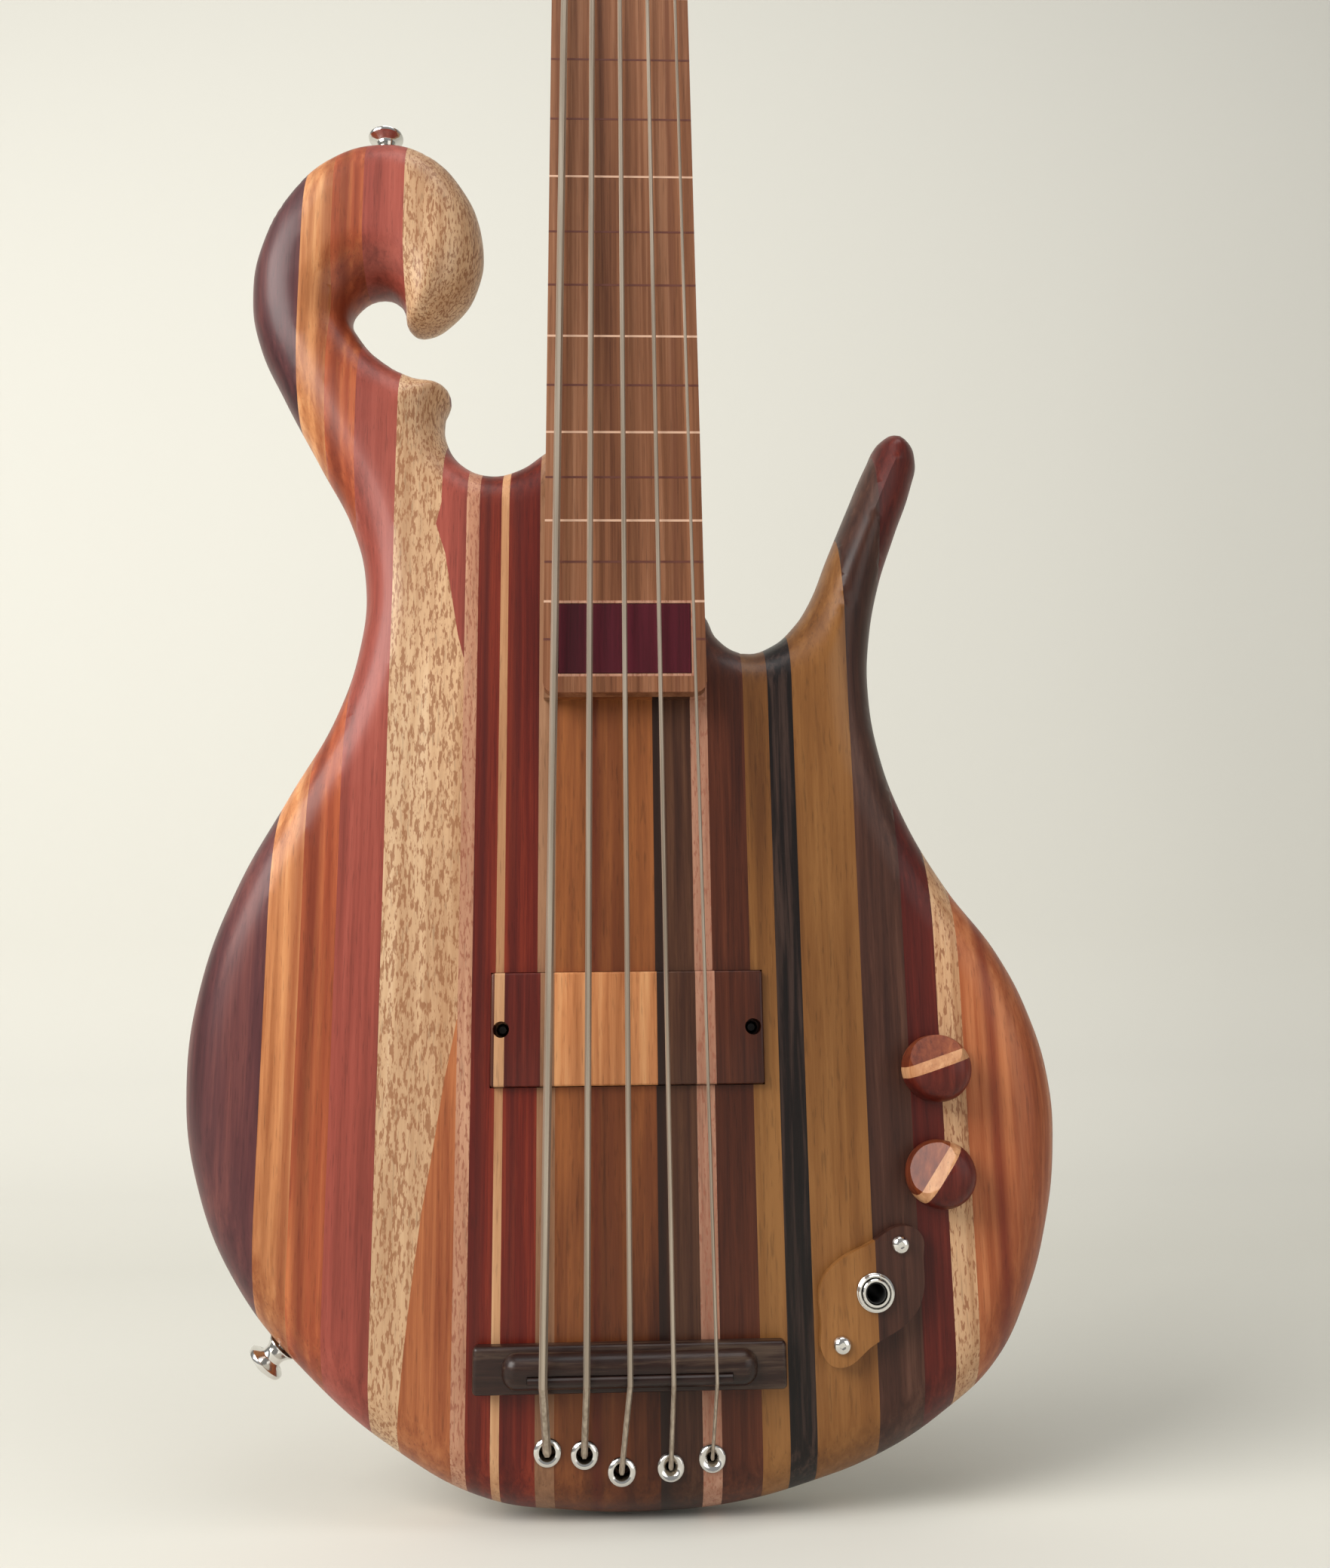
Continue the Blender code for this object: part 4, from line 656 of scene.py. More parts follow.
# Crimson boards and the maple line
# Two deep red boards with a thin pale line between them fill the body from the bass wing to the
# through neck. They are glued like the rest and stop at the cutaway.
CRIMSON = wood(
    "crimson wood", (70, 12, 7), (98, 26, 14), (128, 46, 26), 9, grain=150,
    veins=((-52.5, 1.2, 0.5, 0.6, (64, 16, 12)), (-41, 1.4, 0.6, 0.5, (62, 14, 11))),
)
MAPLE = wood("maple wood", (160, 106, 70), (186, 136, 96), (206, 160, 118), 8)
strip("outer_crimson_strip", CRIMSON, "crimson_strip", slab(-55.8, -47.3))
strip("maple_strip", MAPLE, "crimson_strip", slab(-47.3, -44.3))
strip("inner_crimson_strip", CRIMSON, "crimson_strip", slab(-44.3, -32.3))

# Through neck strips
# A grey, an orange, a dark and a pale board run in one piece from the tail to the headstock. The
# orange one is the widest and has a red vein. Red side pieces widen the headstock.
HEAD_BASE = 932 * MM
ABOVE_ALL = 1.5
GREY = wood("grey wood", (116, 80, 56), (142, 102, 74), (164, 124, 94), 10)
CORE = wood(
    "core wood", (72, 32, 14), (112, 60, 30), (148, 88, 46), 11, grain=70, streak=0.4,
    veins=((-11.5, 1.3, 0.5, 0.75, (84, 28, 16)), (-4, 2.2, 1.6, 0.35, (96, 44, 22))),
)
DARK = wood(
    "dark wood", (38, 20, 14), (64, 36, 24), (88, 56, 38), 12,
    veins=((11.8, 1.9, 0.3, 0.9, (34, 20, 16)),),
)
PINK = wood(
    "pink wood", (156, 106, 84), (178, 130, 106), (196, 150, 126), 23, flecks=((146, 90, 70), 0.42),
)
strip("grey_strip", GREY, "neck_grey_strip", slab(-32.3, -25.8, high_z=HEAD_BASE))
strip("core_strip", CORE, "neck_core", slab(-25.8, 10.2, high_z=ABOVE_ALL))
strip("dark_strip", DARK, "neck_dark_strip", slab(10.2, 24.5, high_z=ABOVE_ALL))
strip("pink_strip", PINK, "neck_pale_strip", slab(24.5, 31.0, high_z=HEAD_BASE))
strip(
    "bass_head_wing", CRIMSON, "headstock_wing_bass",
    slab(-OUTSIDE, -25.8, HEAD_BASE, ABOVE_ALL),
)
strip(
    "treble_head_wing", CRIMSON, "headstock_wing_treble",
    slab(24.5, OUTSIDE, HEAD_BASE, ABOVE_ALL),
)

# Treble side strips
# Brown, olive, black, olive, umber, red, cream and orange boards from the neck to the edge. The
# black one is coarse and wavy, and the tip of the horn is of the red wood.
HORN_BASE = 300 * MM
BROWN = wood("brown wood", (56, 22, 11), (82, 38, 21), (108, 56, 33), 13, grain=110)
OLIVE = wood(
    "olive wood", (92, 54, 23), (122, 78, 37), (146, 100, 54), 14, grain=70, streak=0.4,
)
BLACK = wood(
    "black wood", (9, 5, 5), (22, 13, 11), (58, 42, 36), 15, grain=110, length=7, streak=0.75,
    roughness=0.38, relief=0.3,
)
UMBER = wood("umber wood", (44, 22, 16), (66, 38, 28), (92, 60, 47), 16)
RED = wood("red wood", (62, 12, 7), (86, 24, 15), (112, 42, 28), 17, grain=120)
CREAM = wood(
    "cream wood", (158, 112, 76), (192, 150, 112), (212, 176, 138), 18,
    flecks=((128, 76, 46), 0.43),
)
ORANGE = wood(
    "orange wood", (112, 46, 22), (150, 78, 42), (182, 112, 70), 19, streak=0.4,
    veins=((131.5, 1.8, 0.9, 0.75, (110, 34, 14)), (140, 1.2, 1.2, 0.35, (120, 58, 34))),
)
for name, material, slot, node, low_x, high_x, low_z, high_z in (
    ("brown_side_strip", BROWN, "brown_wood", "brown_strip", 31.0, 44.8, -0.1, 0.6),
    ("inner_olive_strip", OLIVE, "olive_wood", "olive_strip", 44.8, 54.2, -0.1, 0.6),
    ("black_strip", BLACK, "black_wood", "ebony_strip", 54.2, 63.5, -0.1, 0.6),
    ("outer_olive_strip", OLIVE, "amber_wood", "treble_wing", 63.5, 85.2, -0.1, 0.6),
    ("umber_strip", UMBER, "amber_wood", "treble_wing", 85.2, 101.2, -0.1, 0.6),
    ("red_strip", RED, "amber_wood", "treble_wing", 101.2, 112.5, -0.1, HORN_BASE),
    ("horn_tip", RED, "amber_wood", "treble_wing", 101.2, OUTSIDE, HORN_BASE, 0.6),
    ("cream_strip", CREAM, "amber_wood", "treble_wing", 112.5, 121.2, -0.1, HORN_BASE),
    ("orange_strip", ORANGE, "amber_wood", "treble_wing", 121.2, OUTSIDE, -0.1, HORN_BASE),
):
    strip(name, material, node, slab(low_x, high_x, low_z, high_z))
bpy.data.objects.remove(BLANK, do_unlink=True)

# Fingerboard
# One brown board without frets, glued on the neck. Thin lines of dark and light wood are let into
# it where frets would be, and a purple block with a pale border near its end.
SCALE_LENGTH, BRIDGE_LINE = 889 * MM, 57 * MM
LAST_LINE = 22
LIGHT_LINES = (3, 5, 7, 9, 12, 15, 17, 19, 21)
LINE_WIDTH, LINE_PROUD, LINE_DEPTH = 0.9 * MM, 0.04 * MM, 2 * MM
BORDER = 1.3 * MM
INLAY_LOW, INLAY_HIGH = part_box("heel_inlay")


def finish_node(node, material):
    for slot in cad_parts[node].material_slots:
        slot.material = material


def plain(name, color, roughness=0.4, metallic=0.0, coat=0.0, wear=0.06):
    """A plain finish whose roughness varies a little over the surface."""
    shader = Shader(name, roughness=roughness, metallic=metallic, coat=coat)
    patches = shader.noise((140, 140, 140), 4, 0.6)
    level = shader.grey(patches, [(0.3, max(roughness - wear, 0.02)), (0.7, roughness + wear)])
    shader.link(level, shader.main.inputs["Roughness"])
    return shader.color(color)


BOARD = wood(
    "board wood", (100, 58, 36), (136, 88, 60), (166, 118, 88), 20, grain=130, length=3, gloss=0.05,
    veins=((-24.5, 1.2, 0.2, 0.5, (92, 46, 30)), (19.5, 1.0, 0.3, 0.45, (96, 52, 36))),
)
INLAY = wood("inlay wood", (54, 6, 16), (70, 11, 24), (84, 19, 33), 22, gloss=0.05)
LINE_DARK = plain("line dark", paint(92, 44, 30), 0.5)
LINE_LIGHT = plain("line light", paint(206, 166, 140), 0.5)
finish_node("fingerboard", BOARD)
finish_node("heel_inlay", INLAY)


def inlaid_line(name, material, low_x, high_x, low_z, high_z):
    line = box(
        name, (low_x, BOARD_TOP - LINE_PROUD, low_z), (high_x, BOARD_TOP + LINE_DEPTH, high_z),
    )
    place_piece(line, material)


for number in range(1, LAST_LINE + 1):
    z = BRIDGE_LINE + SCALE_LENGTH * 2 ** (-number / 12)
    edge = board_width(z) / 2 + 0.02 * MM
    spans = [(-edge, edge)]
    if INLAY_LOW.z - BORDER < z < INLAY_HIGH.z + BORDER:
        spans = [(-edge, INLAY_LOW.x - BORDER), (INLAY_HIGH.x + BORDER, edge)]
    for side, (low_x, high_x) in enumerate(spans):
        inlaid_line(
            f"fret_line_{number}_{side}", LINE_LIGHT if number in LIGHT_LINES else LINE_DARK,
            low_x, high_x, z - LINE_WIDTH / 2, z + LINE_WIDTH / 2,
        )
border = box(
    "inlay_border", (INLAY_LOW.x - BORDER, BOARD_TOP - LINE_PROUD, INLAY_LOW.z - BORDER),
    (INLAY_HIGH.x + BORDER, BOARD_TOP + LINE_DEPTH, INLAY_HIGH.z + BORDER),
)
opening = box(
    "opening", (INLAY_LOW.x - FIT, BOARD_TOP - 1 * MM, INLAY_LOW.z - FIT),
    (INLAY_HIGH.x + FIT, BOARD_TOP + 9 * MM, INLAY_HIGH.z + FIT),
)
place_piece(cut(border, [opening]), PINK)

# Nut and truss rod
# The nut is a slotted bone bar at the top of the board. The steel rod lies in a channel under it.
BONE = plain("bone", paint(214, 206, 184), 0.35)
STEEL = plain("steel", paint(184, 180, 174), 0.28, 1.0)
finish_node("nut", BONE)
finish_node("truss_rod", STEEL)

# Bridge
# A low black-brown bar on the body, with a raised rounded middle that was left rough on
# top, and a thin rod of the same wood let into it that carries the strings.
BRIDGE_FOOT = 7 * MM
RIDGE_HALF, RIDGE_WIDTH, RIDGE_ROUND = 43 * MM, 12 * MM, 5.2 * MM
# Its pale grey streaks are partly the grain of the wood and partly painted highlight, standing in
# for the window's reflection on the bar's top.
BRIDGE_WOOD_AND_SHEEN = wood(
    "bridge wood and painted sheen", (24, 12, 10), (46, 27, 21), (92, 74, 60), 21, lengthwise=0, length=9,
    gloss=0.2, roughness=0.36, relief=0.35,
)
low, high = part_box("bridge")
middle = (low.z + high.z) / 2
bridge = box("bridge_bar", (low.x, high.y - BRIDGE_FOOT, low.z), high, 1.6 * MM, 4)
ridge = box(
    "ridge", (-RIDGE_HALF, low.y, middle - RIDGE_WIDTH / 2),
    (RIDGE_HALF, high.y - 1 * MM, middle + RIDGE_WIDTH / 2), RIDGE_ROUND, 8,
)
rest_low, rest_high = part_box("saddle")
rest = centre("saddle")
groove = rod(
    "groove", (rest_high.z - rest_low.z) / 2 + FIT, (rest_low.x - FIT, rest.y, rest.z),
    (rest_high.x + FIT, rest.y, rest.z),
)
bridge = cut(cut(bridge, [ridge], "UNION"), [groove])
place_piece(bridge, BRIDGE_WOOD_AND_SHEEN, ["bridge"], angle=50)
finish_node("saddle", BRIDGE_WOOD_AND_SHEEN)

# Strings and their ferrules
# Five wound strings of unlike gauge come up through the body. The three heavy ones leave wide
# ferrules and the two light ones narrower, funnel-shaped ones, all of polished steel.
RIM, RIM_HEIGHT, SLEEVE, SLEEVE_LENGTH = 4.65, 0.8, 3.9, 7.7
WIDE_PROFILE = (
    (2.6, -SLEEVE_LENGTH), (2.6, 0.1), (2.85, 0.6), (3.5, RIM_HEIGHT), (4.25, 0.55), (RIM, 0.05),
    (RIM, 0), (SLEEVE, 0), (SLEEVE, -SLEEVE_LENGTH),
)
FUNNEL_PROFILE = (
    (1.6, -SLEEVE_LENGTH), (1.6, -0.9), (2.3, 0.1), (3.3, 0.72), (3.9, RIM_HEIGHT), (4.4, 0.5),
    (RIM, 0.05), (RIM, 0), (SLEEVE, 0), (SLEEVE, -SLEEVE_LENGTH),
)


def turned(name, profile, place, sides=48, ring=False):
    """A solid of revolution round the place's Z axis. The profile is radius and height in mm."""
    bm = bmesh.new()
    verts = [bm.verts.new((radius * MM, 0, height * MM)) for radius, height in profile]
    edges = [bm.edges.new(pair) for pair in zip(verts, verts[1:])]
    if ring:
        edges.append(bm.edges.new((verts[-1], verts[0])))
    bmesh.ops.spin(
        bm, geom=verts + edges, cent=(0, 0, 0), axis=(0, 0, 1), angle=2 * math.pi, steps=sides,
        use_merge=True,
    )
    bmesh.ops.remove_doubles(bm, verts=bm.verts, dist=0.001 * MM)
    return from_bmesh(name, bm, place)


def front_frame(node, depth):
    """Frame that faces the front at a node's place and a depth."""
    spot = centre(node)
    return axis_frame((spot.x, depth, spot.z), FRONT)


def string_steel():
    shader = Shader("string steel", roughness=0.42, metallic=0.75)
    shader.bump(shader.noise((30, 30, 2400), 1), 0.25, 0.1 * MM)
    streaks = shader.noise((900, 900, 12), 3)
    return shader.color(
        shader.ramp(streaks, [(0.35, paint(152, 138, 122)), (0.65, paint(188, 175, 158))]),
    )


CHROME = plain("chrome", paint(222, 220, 216), 0.12, 1.0, wear=0.04)
STRING_STEEL = string_steel()
for name in STRING_NAMES:
    finish_node(f"string_{name}", STRING_STEEL)
    node = f"string_ferrule_{name}"
    profile = FUNNEL_PROFILE if name in "dg" else WIDE_PROFILE
    ferrule = turned(f"ferrule_{name}", profile, front_frame(node, BODY_FRONT - FIT), ring=True)
    place_piece(ferrule, CHROME, [node])

# Pickup
# The coil hides under a cover that is glued up from the same woods as the body, in strips that
# match those beside it. Two black screws hold it, deep in their holes.
COVER_WALL, COVER_END = 3 * MM, 11 * MM
PICKUP_HEAD_HOLE, PICKUP_SEAT = 2.9 * MM, 9 * MM
COVER_STRIPS = (
    ("cover_brown_end", BROWN, -60, -47.4), ("cover_maple_line", MAPLE, -47.4, -43.8),
    ("cover_crimson", RED, -43.8, -31), ("cover_grey", GREY, -31, -26),
    ("cover_amber", AMBER, -26, 10.6), ("cover_dark", DARK, 10.6, 24.5),
    ("cover_pink", PINK, 24.5, 31.5), ("cover_brown", BROWN, 31.5, 60),
)
low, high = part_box("pickup_cover")
cover = box("pickup_blank", low, high, 0.9 * MM, 3)
holes = [box(
    "hollow", (low.x + COVER_END, low.y + COVER_WALL, low.z + COVER_WALL),
    (high.x - COVER_END, high.y + BEYOND, high.z - COVER_WALL),
)]
for side in ("bass", "treble"):
    spot = centre(f"pickup_screw_{side}")
    above, seat = (spot.x, low.y - BEYOND, spot.z), (spot.x, low.y + PICKUP_SEAT + FIT, spot.z)
    holes.append(rod("head_hole", PICKUP_HEAD_HOLE, above, seat))
    holes.append(rod("shank_hole", 1.6 * MM, above, (spot.x, high.y + BEYOND, spot.z)))
cover = cut(cover, holes)
for name, material, low_x, high_x in COVER_STRIPS:
    piece = cut(copied(cover, name), [slab(low_x, high_x)], "INTERSECT")
    place_piece(piece, material, ["pickup_cover"])
bpy.data.objects.remove(cover, do_unlink=True)
PLASTIC = plain("plastic", (0.02, 0.02, 0.02), 0.5)
BLACKED = plain("blacked steel", (0.025, 0.024, 0.024), 0.4, 0.6)
finish_node("pickup_coil", PLASTIC)
finish_node("pickup_screw_bass", BLACKED)
finish_node("pickup_screw_treble", BLACKED)

# Control knobs
# Each is turned from a block glued up of amber, pale and red wood. One slope, cut down to the pale
# layer, leaves a straight ridge that shows where the knob stands.
KNOB_LIFT = 0.8 * MM
KNOB_PROFILE = (
    (0, 16), (4.5, 15.8), (7.6, 15.0), (9.7, 13.5), (11.0, 11.4), (11.6, 8.6), (11.6, 0.7),
    (11.0, 0), (8, 0), (8, 5), (3.45, 5), (3.45, 8.3), (0, 8.3),
)
RIDGE_HEIGHT, RIDGE_OFFSET, SLOPE = 15.2 * MM, 1.0 * MM, math.radians(34)
KNOB_TOP = wood("knob top wood", (84, 32, 15), (118, 56, 29), (146, 82, 47), 24)
KNOB_LAYERS = (("base", RED, -20, 0.2), ("line", MAPLE, 0.2, 4.0), ("top", KNOB_TOP, 4.0, 20))


def knob_frame(node, ridge_turn):
    """X along the ridge, Y towards the slope, Z out of the body."""
    spot = centre(node)
    along = Vector((math.cos(ridge_turn), 0, math.sin(ridge_turn)))
    towards = Vector((-math.sin(ridge_turn), 0, math.cos(ridge_turn)))
    matrix = Matrix((along, towards, FRONT)).transposed().to_4x4()
    return Matrix.Translation((spot.x, BODY_FRONT - KNOB_LIFT, spot.z)) @ matrix


def make_knob(kind, ridge_turn):
    place = knob_frame(f"{kind}_knob", ridge_turn)
    knob = turned(f"{kind}_knob_blank", KNOB_PROFILE, place, 64)
    facet = box("facet", (-20 * MM, -5 * MM, 0), (20 * MM, 30 * MM, 20 * MM))
    tip = Matrix.Translation((0, RIDGE_OFFSET, RIDGE_HEIGHT)) @ Matrix.Rotation(-SLOPE, 4, "X")
    facet.data.transform(place @ tip)
    knob = cut(knob, [facet])
    for layer, material, low_y, high_y in KNOB_LAYERS:
        keeper = box("layer", (-20 * MM, low_y * MM, -20 * MM), (20 * MM, high_y * MM, 30 * MM))
        keeper.data.transform(place)
        piece = cut(copied(knob, f"{kind}_knob_{layer}"), [keeper], "INTERSECT")
        place_piece(piece, material, [f"{kind}_knob"], f"{kind}_control")
    bpy.data.objects.remove(knob, do_unlink=True)


make_knob("volume", math.radians(18))
make_knob("tone", math.radians(55))
BRASS = plain("brass", paint(200, 162, 96), 0.28, 1.0)
for kind in ("volume", "tone"):
    finish_node(f"{kind}_shaft", BRASS)
    finish_node(f"{kind}_potentiometer", STEEL)

# Jack and its plate
# The plate is cut from the same olive and umber boards as the body under it, rounded by hand and
# held by two domed screws. The jack's ring nut and washer are polished.
PLATE_SPLIT = 85
PLATE_ROUND = 2.4 * MM
JACK_PLATE_OUTLINE = (
    (96.0, 95.2), (101.2, 92.4), (101.6, 84.0), (100.6, 71.5), (96.6, 65.0), (83.0, 56.5),
    (71.5, 49.6), (66.2, 52.6), (65.4, 64.0), (65.8, 76.5), (70.8, 82.8), (83.0, 89.3),
)
DOME, DOME_HEIGHT = 3.1, 2.0


def screw(name, place, length, head, height, nodes=()):
    """A domed wood screw with a hexagonal socket. Z = 0 is the seat of its head, in mm."""
    profile = (
        (0, height), (head * 0.4, height * 0.96), (head * 0.75, height * 0.74),
        (head * 0.95, height * 0.4), (head, 0), (1.1, 0), (1.1, -length), (0, -length - 1.1),
    )
    socket = rod(
        "socket", head * 0.4 * MM, place @ Vector((0, 0, height * 0.3 * MM)),
        place @ Vector((0, 0, (height + 1) * MM)), 6,
    )
    piece = cut(turned(name, profile, place, 32), [socket])
    return place_piece(piece, CHROME, nodes)


low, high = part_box("jack_plate")
outline = curve_loop("jack_plate_blank", JACK_PLATE_OUTLINE, 10)
jack_plate = eased_edges(plate("jack_plate_blank", outline, low.y, high.y), PLATE_ROUND, 6)
spot = centre("jack_socket")
holes = [rod("hole", 5.1 * MM, (spot.x, low.y - BEYOND, spot.z), (spot.x, high.y + BEYOND, spot.z))]
jack_plate = cut(jack_plate, holes)
for name, material, low_x, high_x in (
    ("jack_plate_olive", OLIVE, 0, PLATE_SPLIT), ("jack_plate_umber", UMBER, PLATE_SPLIT, OUTSIDE),
):
    piece = cut(copied(jack_plate, name), [slab(low_x, high_x)], "INTERSECT")
    place_piece(piece, material, ["jack_plate"])
bpy.data.objects.remove(jack_plate, do_unlink=True)
for side in ("upper", "lower"):
    node = f"jack_plate_screw_{side}"
    place = front_frame(node, low.y - FIT)
    screw(f"plate_screw_{side}", place, 15, DOME, DOME_HEIGHT, [node])
NUT_PROFILE = (
    (5.1, 2.0), (5.3, 2.2), (5.75, 2.2), (6.1, 1.9), (6.2, 1.0), (6.45, 0.8), (6.45, 0), (5.1, 0),
)
nut = turned("jack_ring_nut", NUT_PROFILE, front_frame("jack_nut", low.y - FIT), 64, ring=True)
place_piece(nut, CHROME, ["jack_nut"])
TIP, FLOOR = 8.1, -23
SOCKET_PROFILE = (
    (0, FLOOR), (3.4, FLOOR), (3.4, TIP - 0.7), (3.8, TIP), (4.4, TIP), (4.7, TIP - 0.3), (4.7, 0),
    (8.5, 0), (8.5, FLOOR - 3), (0, FLOOR - 3),
)
LINING_PROFILE = ((3.2, FLOOR + 0.2), (3.2, TIP - 1), (3.38, TIP - 1), (3.38, FLOOR + 0.2))
socket_frame = front_frame("jack_socket", BODY_FRONT)
bush = turned("jack_bush", SOCKET_PROFILE, socket_frame, 64)
place_piece(bush, CHROME, ["jack_socket"])
lining = turned("jack_lining", LINING_PROFILE, socket_frame, 48, ring=True)
place_piece(lining, PLASTIC)

# Control cover and wiring
# A thin board closes the cavity from behind, flush in its ledge, under four small screws. Inside,
# one lead runs from the pickup by way of both controls to the jack.
COVER_SCREWS = ((0, 235), (1, -25), (2, 60), (2, 160))
rear = plate(
    "cavity_cover", hull_curve("cavity_cover", CAVITY_CIRCLES, COVER_LEDGE),
    BODY_BACK - COVER_THICKNESS, BODY_BACK,
)
place_piece(eased_edges(rear, 0.4 * MM, 2), BROWN, ["control_cover"])
for number, (index, degrees) in enumerate(COVER_SCREWS):
    across, up, radius = CAVITY_CIRCLES[index]
    reach, angle = radius + COVER_LEDGE / 2, math.radians(degrees)
    seat = (across + reach * math.cos(angle), BODY_BACK, up + reach * math.sin(angle))
    screw(f"cover_screw_{number}", axis_frame(seat, -FRONT), 8, 2.4, 1.0)
finish_node("wiring", plain("lead cover", paint(150, 40, 32), 0.45))

# Tuners
# Five open-geared tuners, three on the bass side and two on the other. A button turns a worm
# between two lugs of the rear plate, the worm turns the wheel, and the post winds the string.
TUNER_PLACES = ((-27, 46), (-27, 89), (-27, 132), (27, 103), (27, 58))
HEAD_MM, PLATE_MM = 16, 2
WHEEL_TOP = -HEAD_MM - 0.3 - PLATE_MM - 1.2
POST_PROFILE = (
    (0, 21), (4.6, 21), (5.4, 20.7), (5.8, 20), (5.8, 16.5), (5.2, 15.7), (4.3, 15), (4.2, 14.4),
    (4.2, 5.0), (4.5, 4.3), (5.5, 3.3), (5.8, 2.9), (5.8, -14), (3.4, -14), (3.4, WHEEL_TOP),
    (8.1, WHEEL_TOP), (8.5, WHEEL_TOP - 0.4), (8.5, WHEEL_TOP - 4.6), (8.1, WHEEL_TOP - 5),
    (0, WHEEL_TOP - 5),
)
BUTTON_PROFILE = (
    (0, 42), (5, 41.6), (8.4, 40.3), (10.6, 37.6), (11.5, 34), (11.3, 31), (10.2, 27.6),
    (8.2, 24.2), (5.2, 21.6), (2.5, 20), (2.5, 6), (3.4, 6), (3.4, -6), (2.5, -6), (2.5, -9.5),
    (0, -9.5),
)
BUTTON_START, BUTTON_FLATNESS = 20.3 * MM, 0.34
BUSHING_PROFILE = ((6.1, 0.3), (8.4, 0.3), (8.4, 0.9), (7.9, 1.7), (7.0, 2.2), (6.1, 2.2))
WORM_OFFSET = 12.2 * MM
PLATE_SCREW_INSET = 3.6


def tuner_frame(index):
    """Frame at a string post: Z leaves the headstock's face, X points to the near edge."""
    across, up = TUNER_PLACES[index]
    out = HEAD_FRAME.to_3x3() @ FRONT
    sideways = Vector((math.copysign(1, across), 0, 0))
    matrix = Matrix((sideways, out.cross(sideways), out)).transposed().to_4x4()
    return Matrix.Translation(HEAD_FRAME @ Vector((across * MM, 0, up * MM))) @ matrix


def worm_frame(index):
    """Frame on a worm's axis: Z points out to the button."""
    nut_ward = -1 if TUNER_PLACES[index][0] > 0 else 1
    offset = Vector((0, nut_ward * WORM_OFFSET, (WHEEL_TOP - 2.5) * MM))
    return tuner_frame(index) @ Matrix.Translation(offset) @ Matrix.Rotation(math.pi / 2, 4, "Y")


for index, name in enumerate(STRING_NAMES):
    place = tuner_frame(index)
    post = turned(f"post_{name}", POST_PROFILE, place)
    place_piece(post, CHROME, [f"tuner_post_{name}"], f"post_{name}")
    bushing = turned(f"bushing_{name}", BUSHING_PROFILE, place, ring=True)
    place_piece(bushing, CHROME)
    button = turned(f"button_{name}", BUTTON_PROFILE, None)
    for vert in button.data.vertices:
        if vert.co.z > BUTTON_START:
            vert.co.x *= BUTTON_FLATNESS
    button.data.transform(worm_frame(index))
    place_piece(button, CHROME, [f"tuner_button_{name}"], f"key_{name}")
for side, ends in (("bass", (0, 2)), ("treble", (4, 3))):
    finish_node(f"tuner_plate_{side}", CHROME)
    down = tuner_frame(ends[0]).inverted() @ HEAD_FRAME.to_translation()
    ward = math.copysign(1, down.y)
    for number, index in enumerate(ends):
        reach = ward * (22 if number == 0 else -13)
        for edge in (-1, 1):
            local = (
                edge * (15 - PLATE_SCREW_INSET), reach - math.copysign(PLATE_SCREW_INSET, reach),
                -HEAD_MM - 0.3 - PLATE_MM,
            )
            spot = tuner_frame(index) @ (Vector(local) * MM)
            seat = axis_frame(spot, HEAD_FRAME.to_3x3() @ -FRONT)
            screw(f"tuner_screw_{side}_{number}_{edge + 1}", seat, 9, 1.9, 0.9)

# Strap buttons
# Waisted and polished, one on top of the scroll and one low on the bass side, each held by a screw
# along the middle of the edge.
STRAP_TARGETS = (("upper", (-100 * MM, 533.5 * MM)), ("lower", (-117 * MM, 51.5 * MM)))
STRAP_PROFILE = (
    (0, 10.5), (2.6, 10.3), (4.0, 9.8), (4.2, 9.1), (6.3, 9.0), (7.1, 8.6), (7.3, 8.0), (7.2, 7.2),
    (6.2, 6.6), (4.6, 6.0), (3.9, 5.2), (3.8, 4.2), (4.0, 3.0), (4.8, 1.6), (5.8, 0.4), (5.8, 0),
    (2.0, 0), (2.0, -24), (0, -26),
)


def edge_frame(target):
    """Frame on the outline nearest the target: Z leaves the body."""
    loop = np.asarray(loop_points("outline", BODY_OUTLINE, FRAME_STEPS))
    index = int(np.argmin(np.linalg.norm(loop - np.asarray(target), axis=1)))
    along = loop[(index + 1) % len(loop)] - loop[index - 1]
    outward = Vector((-along[1], 0, along[0])).normalized()
    return axis_frame(Vector((loop[index][0], 0, loop[index][1])) + outward * FIT, outward)


for side, target in STRAP_TARGETS:
    button = turned(f"strap_knob_{side}", STRAP_PROFILE, edge_frame(target))
    place_piece(button, CHROME, [f"strap_button_{side}"])

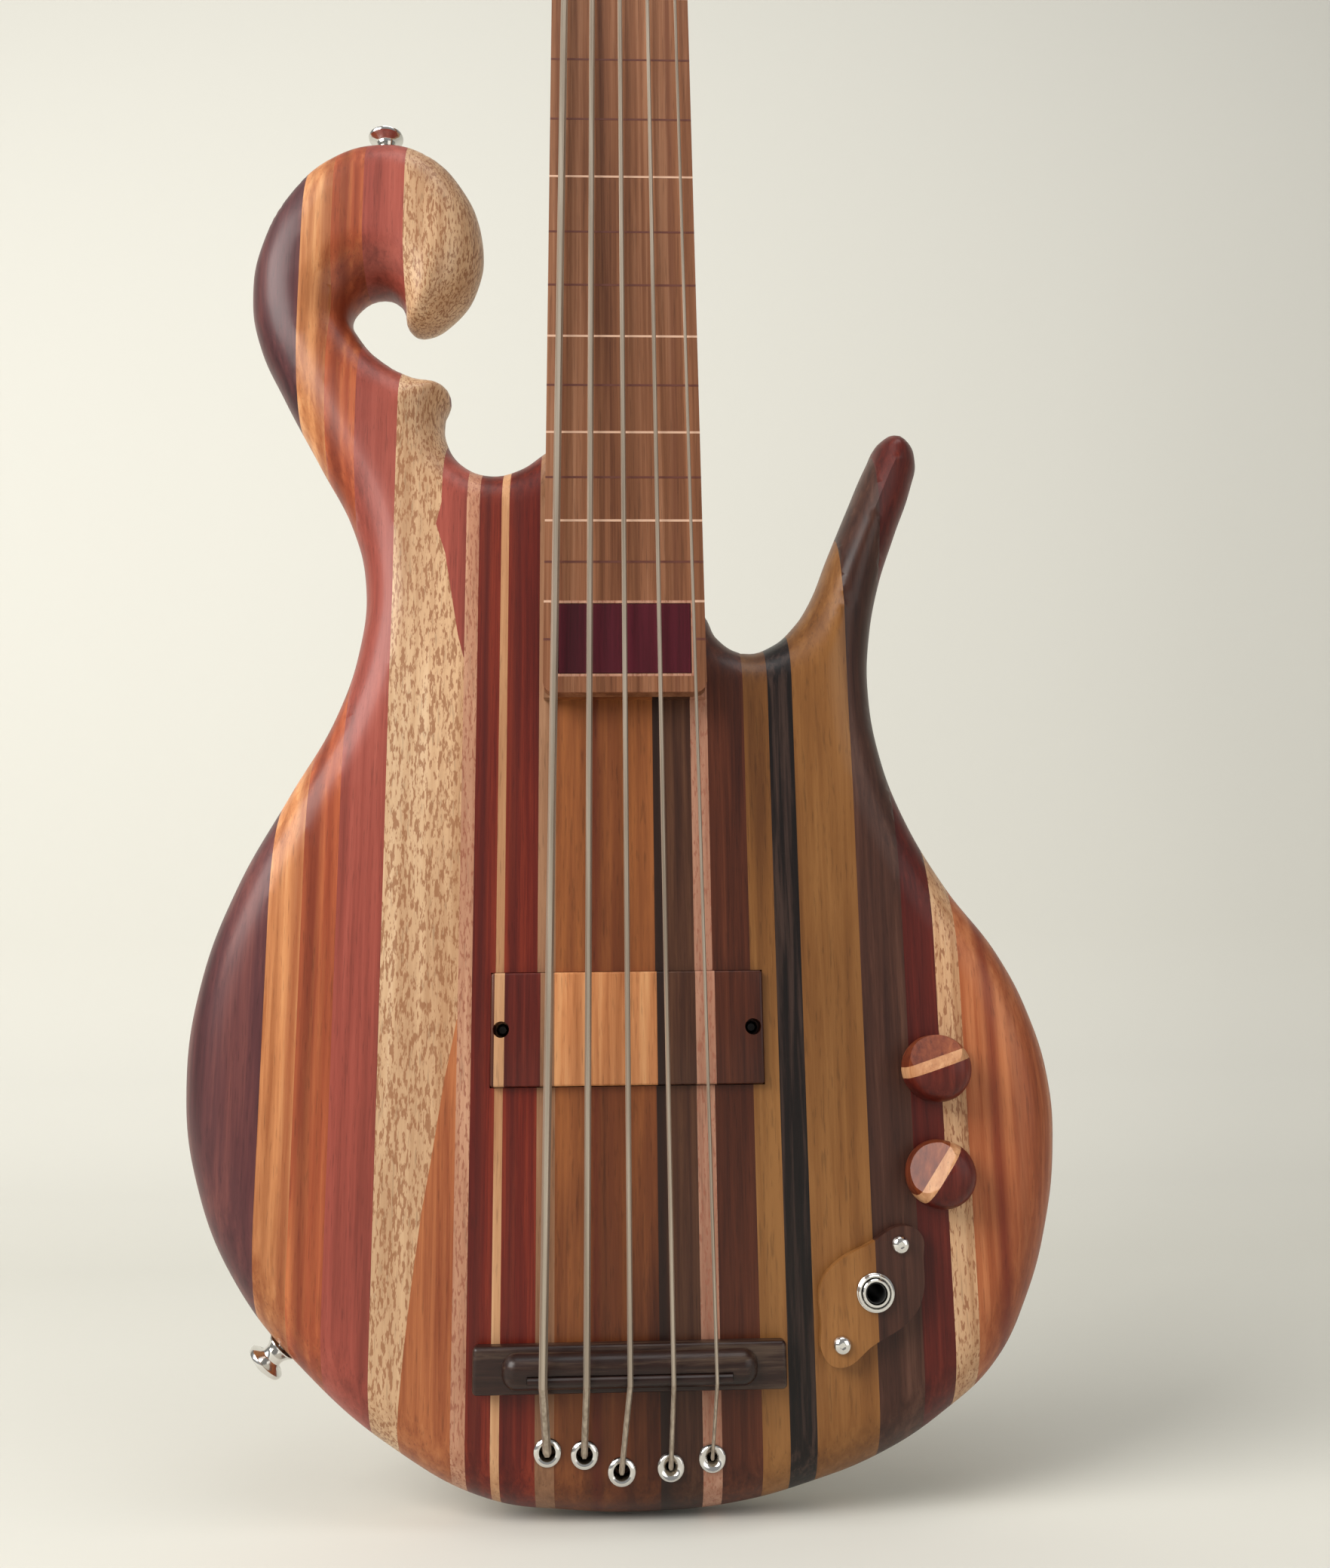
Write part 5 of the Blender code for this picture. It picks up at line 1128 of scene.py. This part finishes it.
# Stage
# A pale floor that rises into a backdrop behind the instrument.
STAGE_PROFILE = (
    (-3.0, -0.001), (0.6, -0.001), (0.85, 0.03), (1.0, 0.14), (1.06, 0.3), (1.08, 3.5),
)
bm = bmesh.new()
verts = [bm.verts.new((-7, y, z)) for y, z in STAGE_PROFILE]
edges = [bm.edges.new(pair) for pair in zip(verts, verts[1:])]
wide = bmesh.ops.extrude_edge_only(bm, edges=edges)["geom"]
bmesh.ops.translate(
    bm, vec=(14, 0, 0), verts=[item for item in wide if isinstance(item, bmesh.types.BMVert)],
)
backdrop = from_bmesh("backdrop", bm)
backdrop.data.shade_smooth()
backdrop.data.materials.append(plain("backdrop", (0.67, 0.66, 0.60), 0.9))


# Light
# A wide window high on the left, a weak fill from the right and a soft light from above.
def area_light(name, place, target, width, height, power, color):
    data = bpy.data.lights.new(name, "AREA")
    data.shape = "RECTANGLE"
    data.size, data.size_y = width, height
    data.energy = power
    data.color = color
    obj = new_object(name, data)
    obj.location = place
    obj.rotation_euler = (Vector(target) - Vector(place)).to_track_quat("-Z", "Y").to_euler()


area_light("window", (-1.5, -1.1, 1.3), (0, 0, 0.3), 1.5, 1.3, 58, (1.0, 0.98, 0.95))
area_light("fill", (1.4, -1.3, 0.5), (0, 0, 0.25), 1.5, 1.5, 10, (1.0, 0.97, 0.94))
area_light("above", (0.2, -0.5, 2.2), (0, 0, 0.3), 1.4, 0.8, 10, (1.0, 1.0, 1.0))
world = bpy.data.worlds.new("room")
bpy.context.scene.world = world
world.use_nodes = True
world.node_tree.nodes["Background"].inputs["Color"].default_value = (0.76, 0.76, 0.76, 1)
world.node_tree.nodes["Background"].inputs["Strength"].default_value = 0.4

# Camera
# In front of the pickup and close to the floor, tipped up along the neck as in the photograph.
CAMERA_PLACE = Vector((-3.5, -505.8, 150.6)) * MM
CAMERA_RIGHT = Vector((0.9993, -0.0346, -0.0136)).normalized()
CAMERA_UP = Vector((0.0062, -0.2074, 0.9782))
camera_data = bpy.data.cameras.new("camera")
camera_data.sensor_fit = "VERTICAL"
camera_data.sensor_height = 36
camera_data.lens = 30.58
camera_data.clip_start = 0.01
camera = new_object("camera", camera_data)
camera_back = CAMERA_RIGHT.cross(CAMERA_UP).normalized()
turn = Matrix((CAMERA_RIGHT, camera_back.cross(CAMERA_RIGHT), camera_back)).transposed().to_4x4()
camera.matrix_world = Matrix.Translation(CAMERA_PLACE) @ turn
bpy.context.scene.camera = camera
bpy.context.scene.view_settings.view_transform = "Standard"
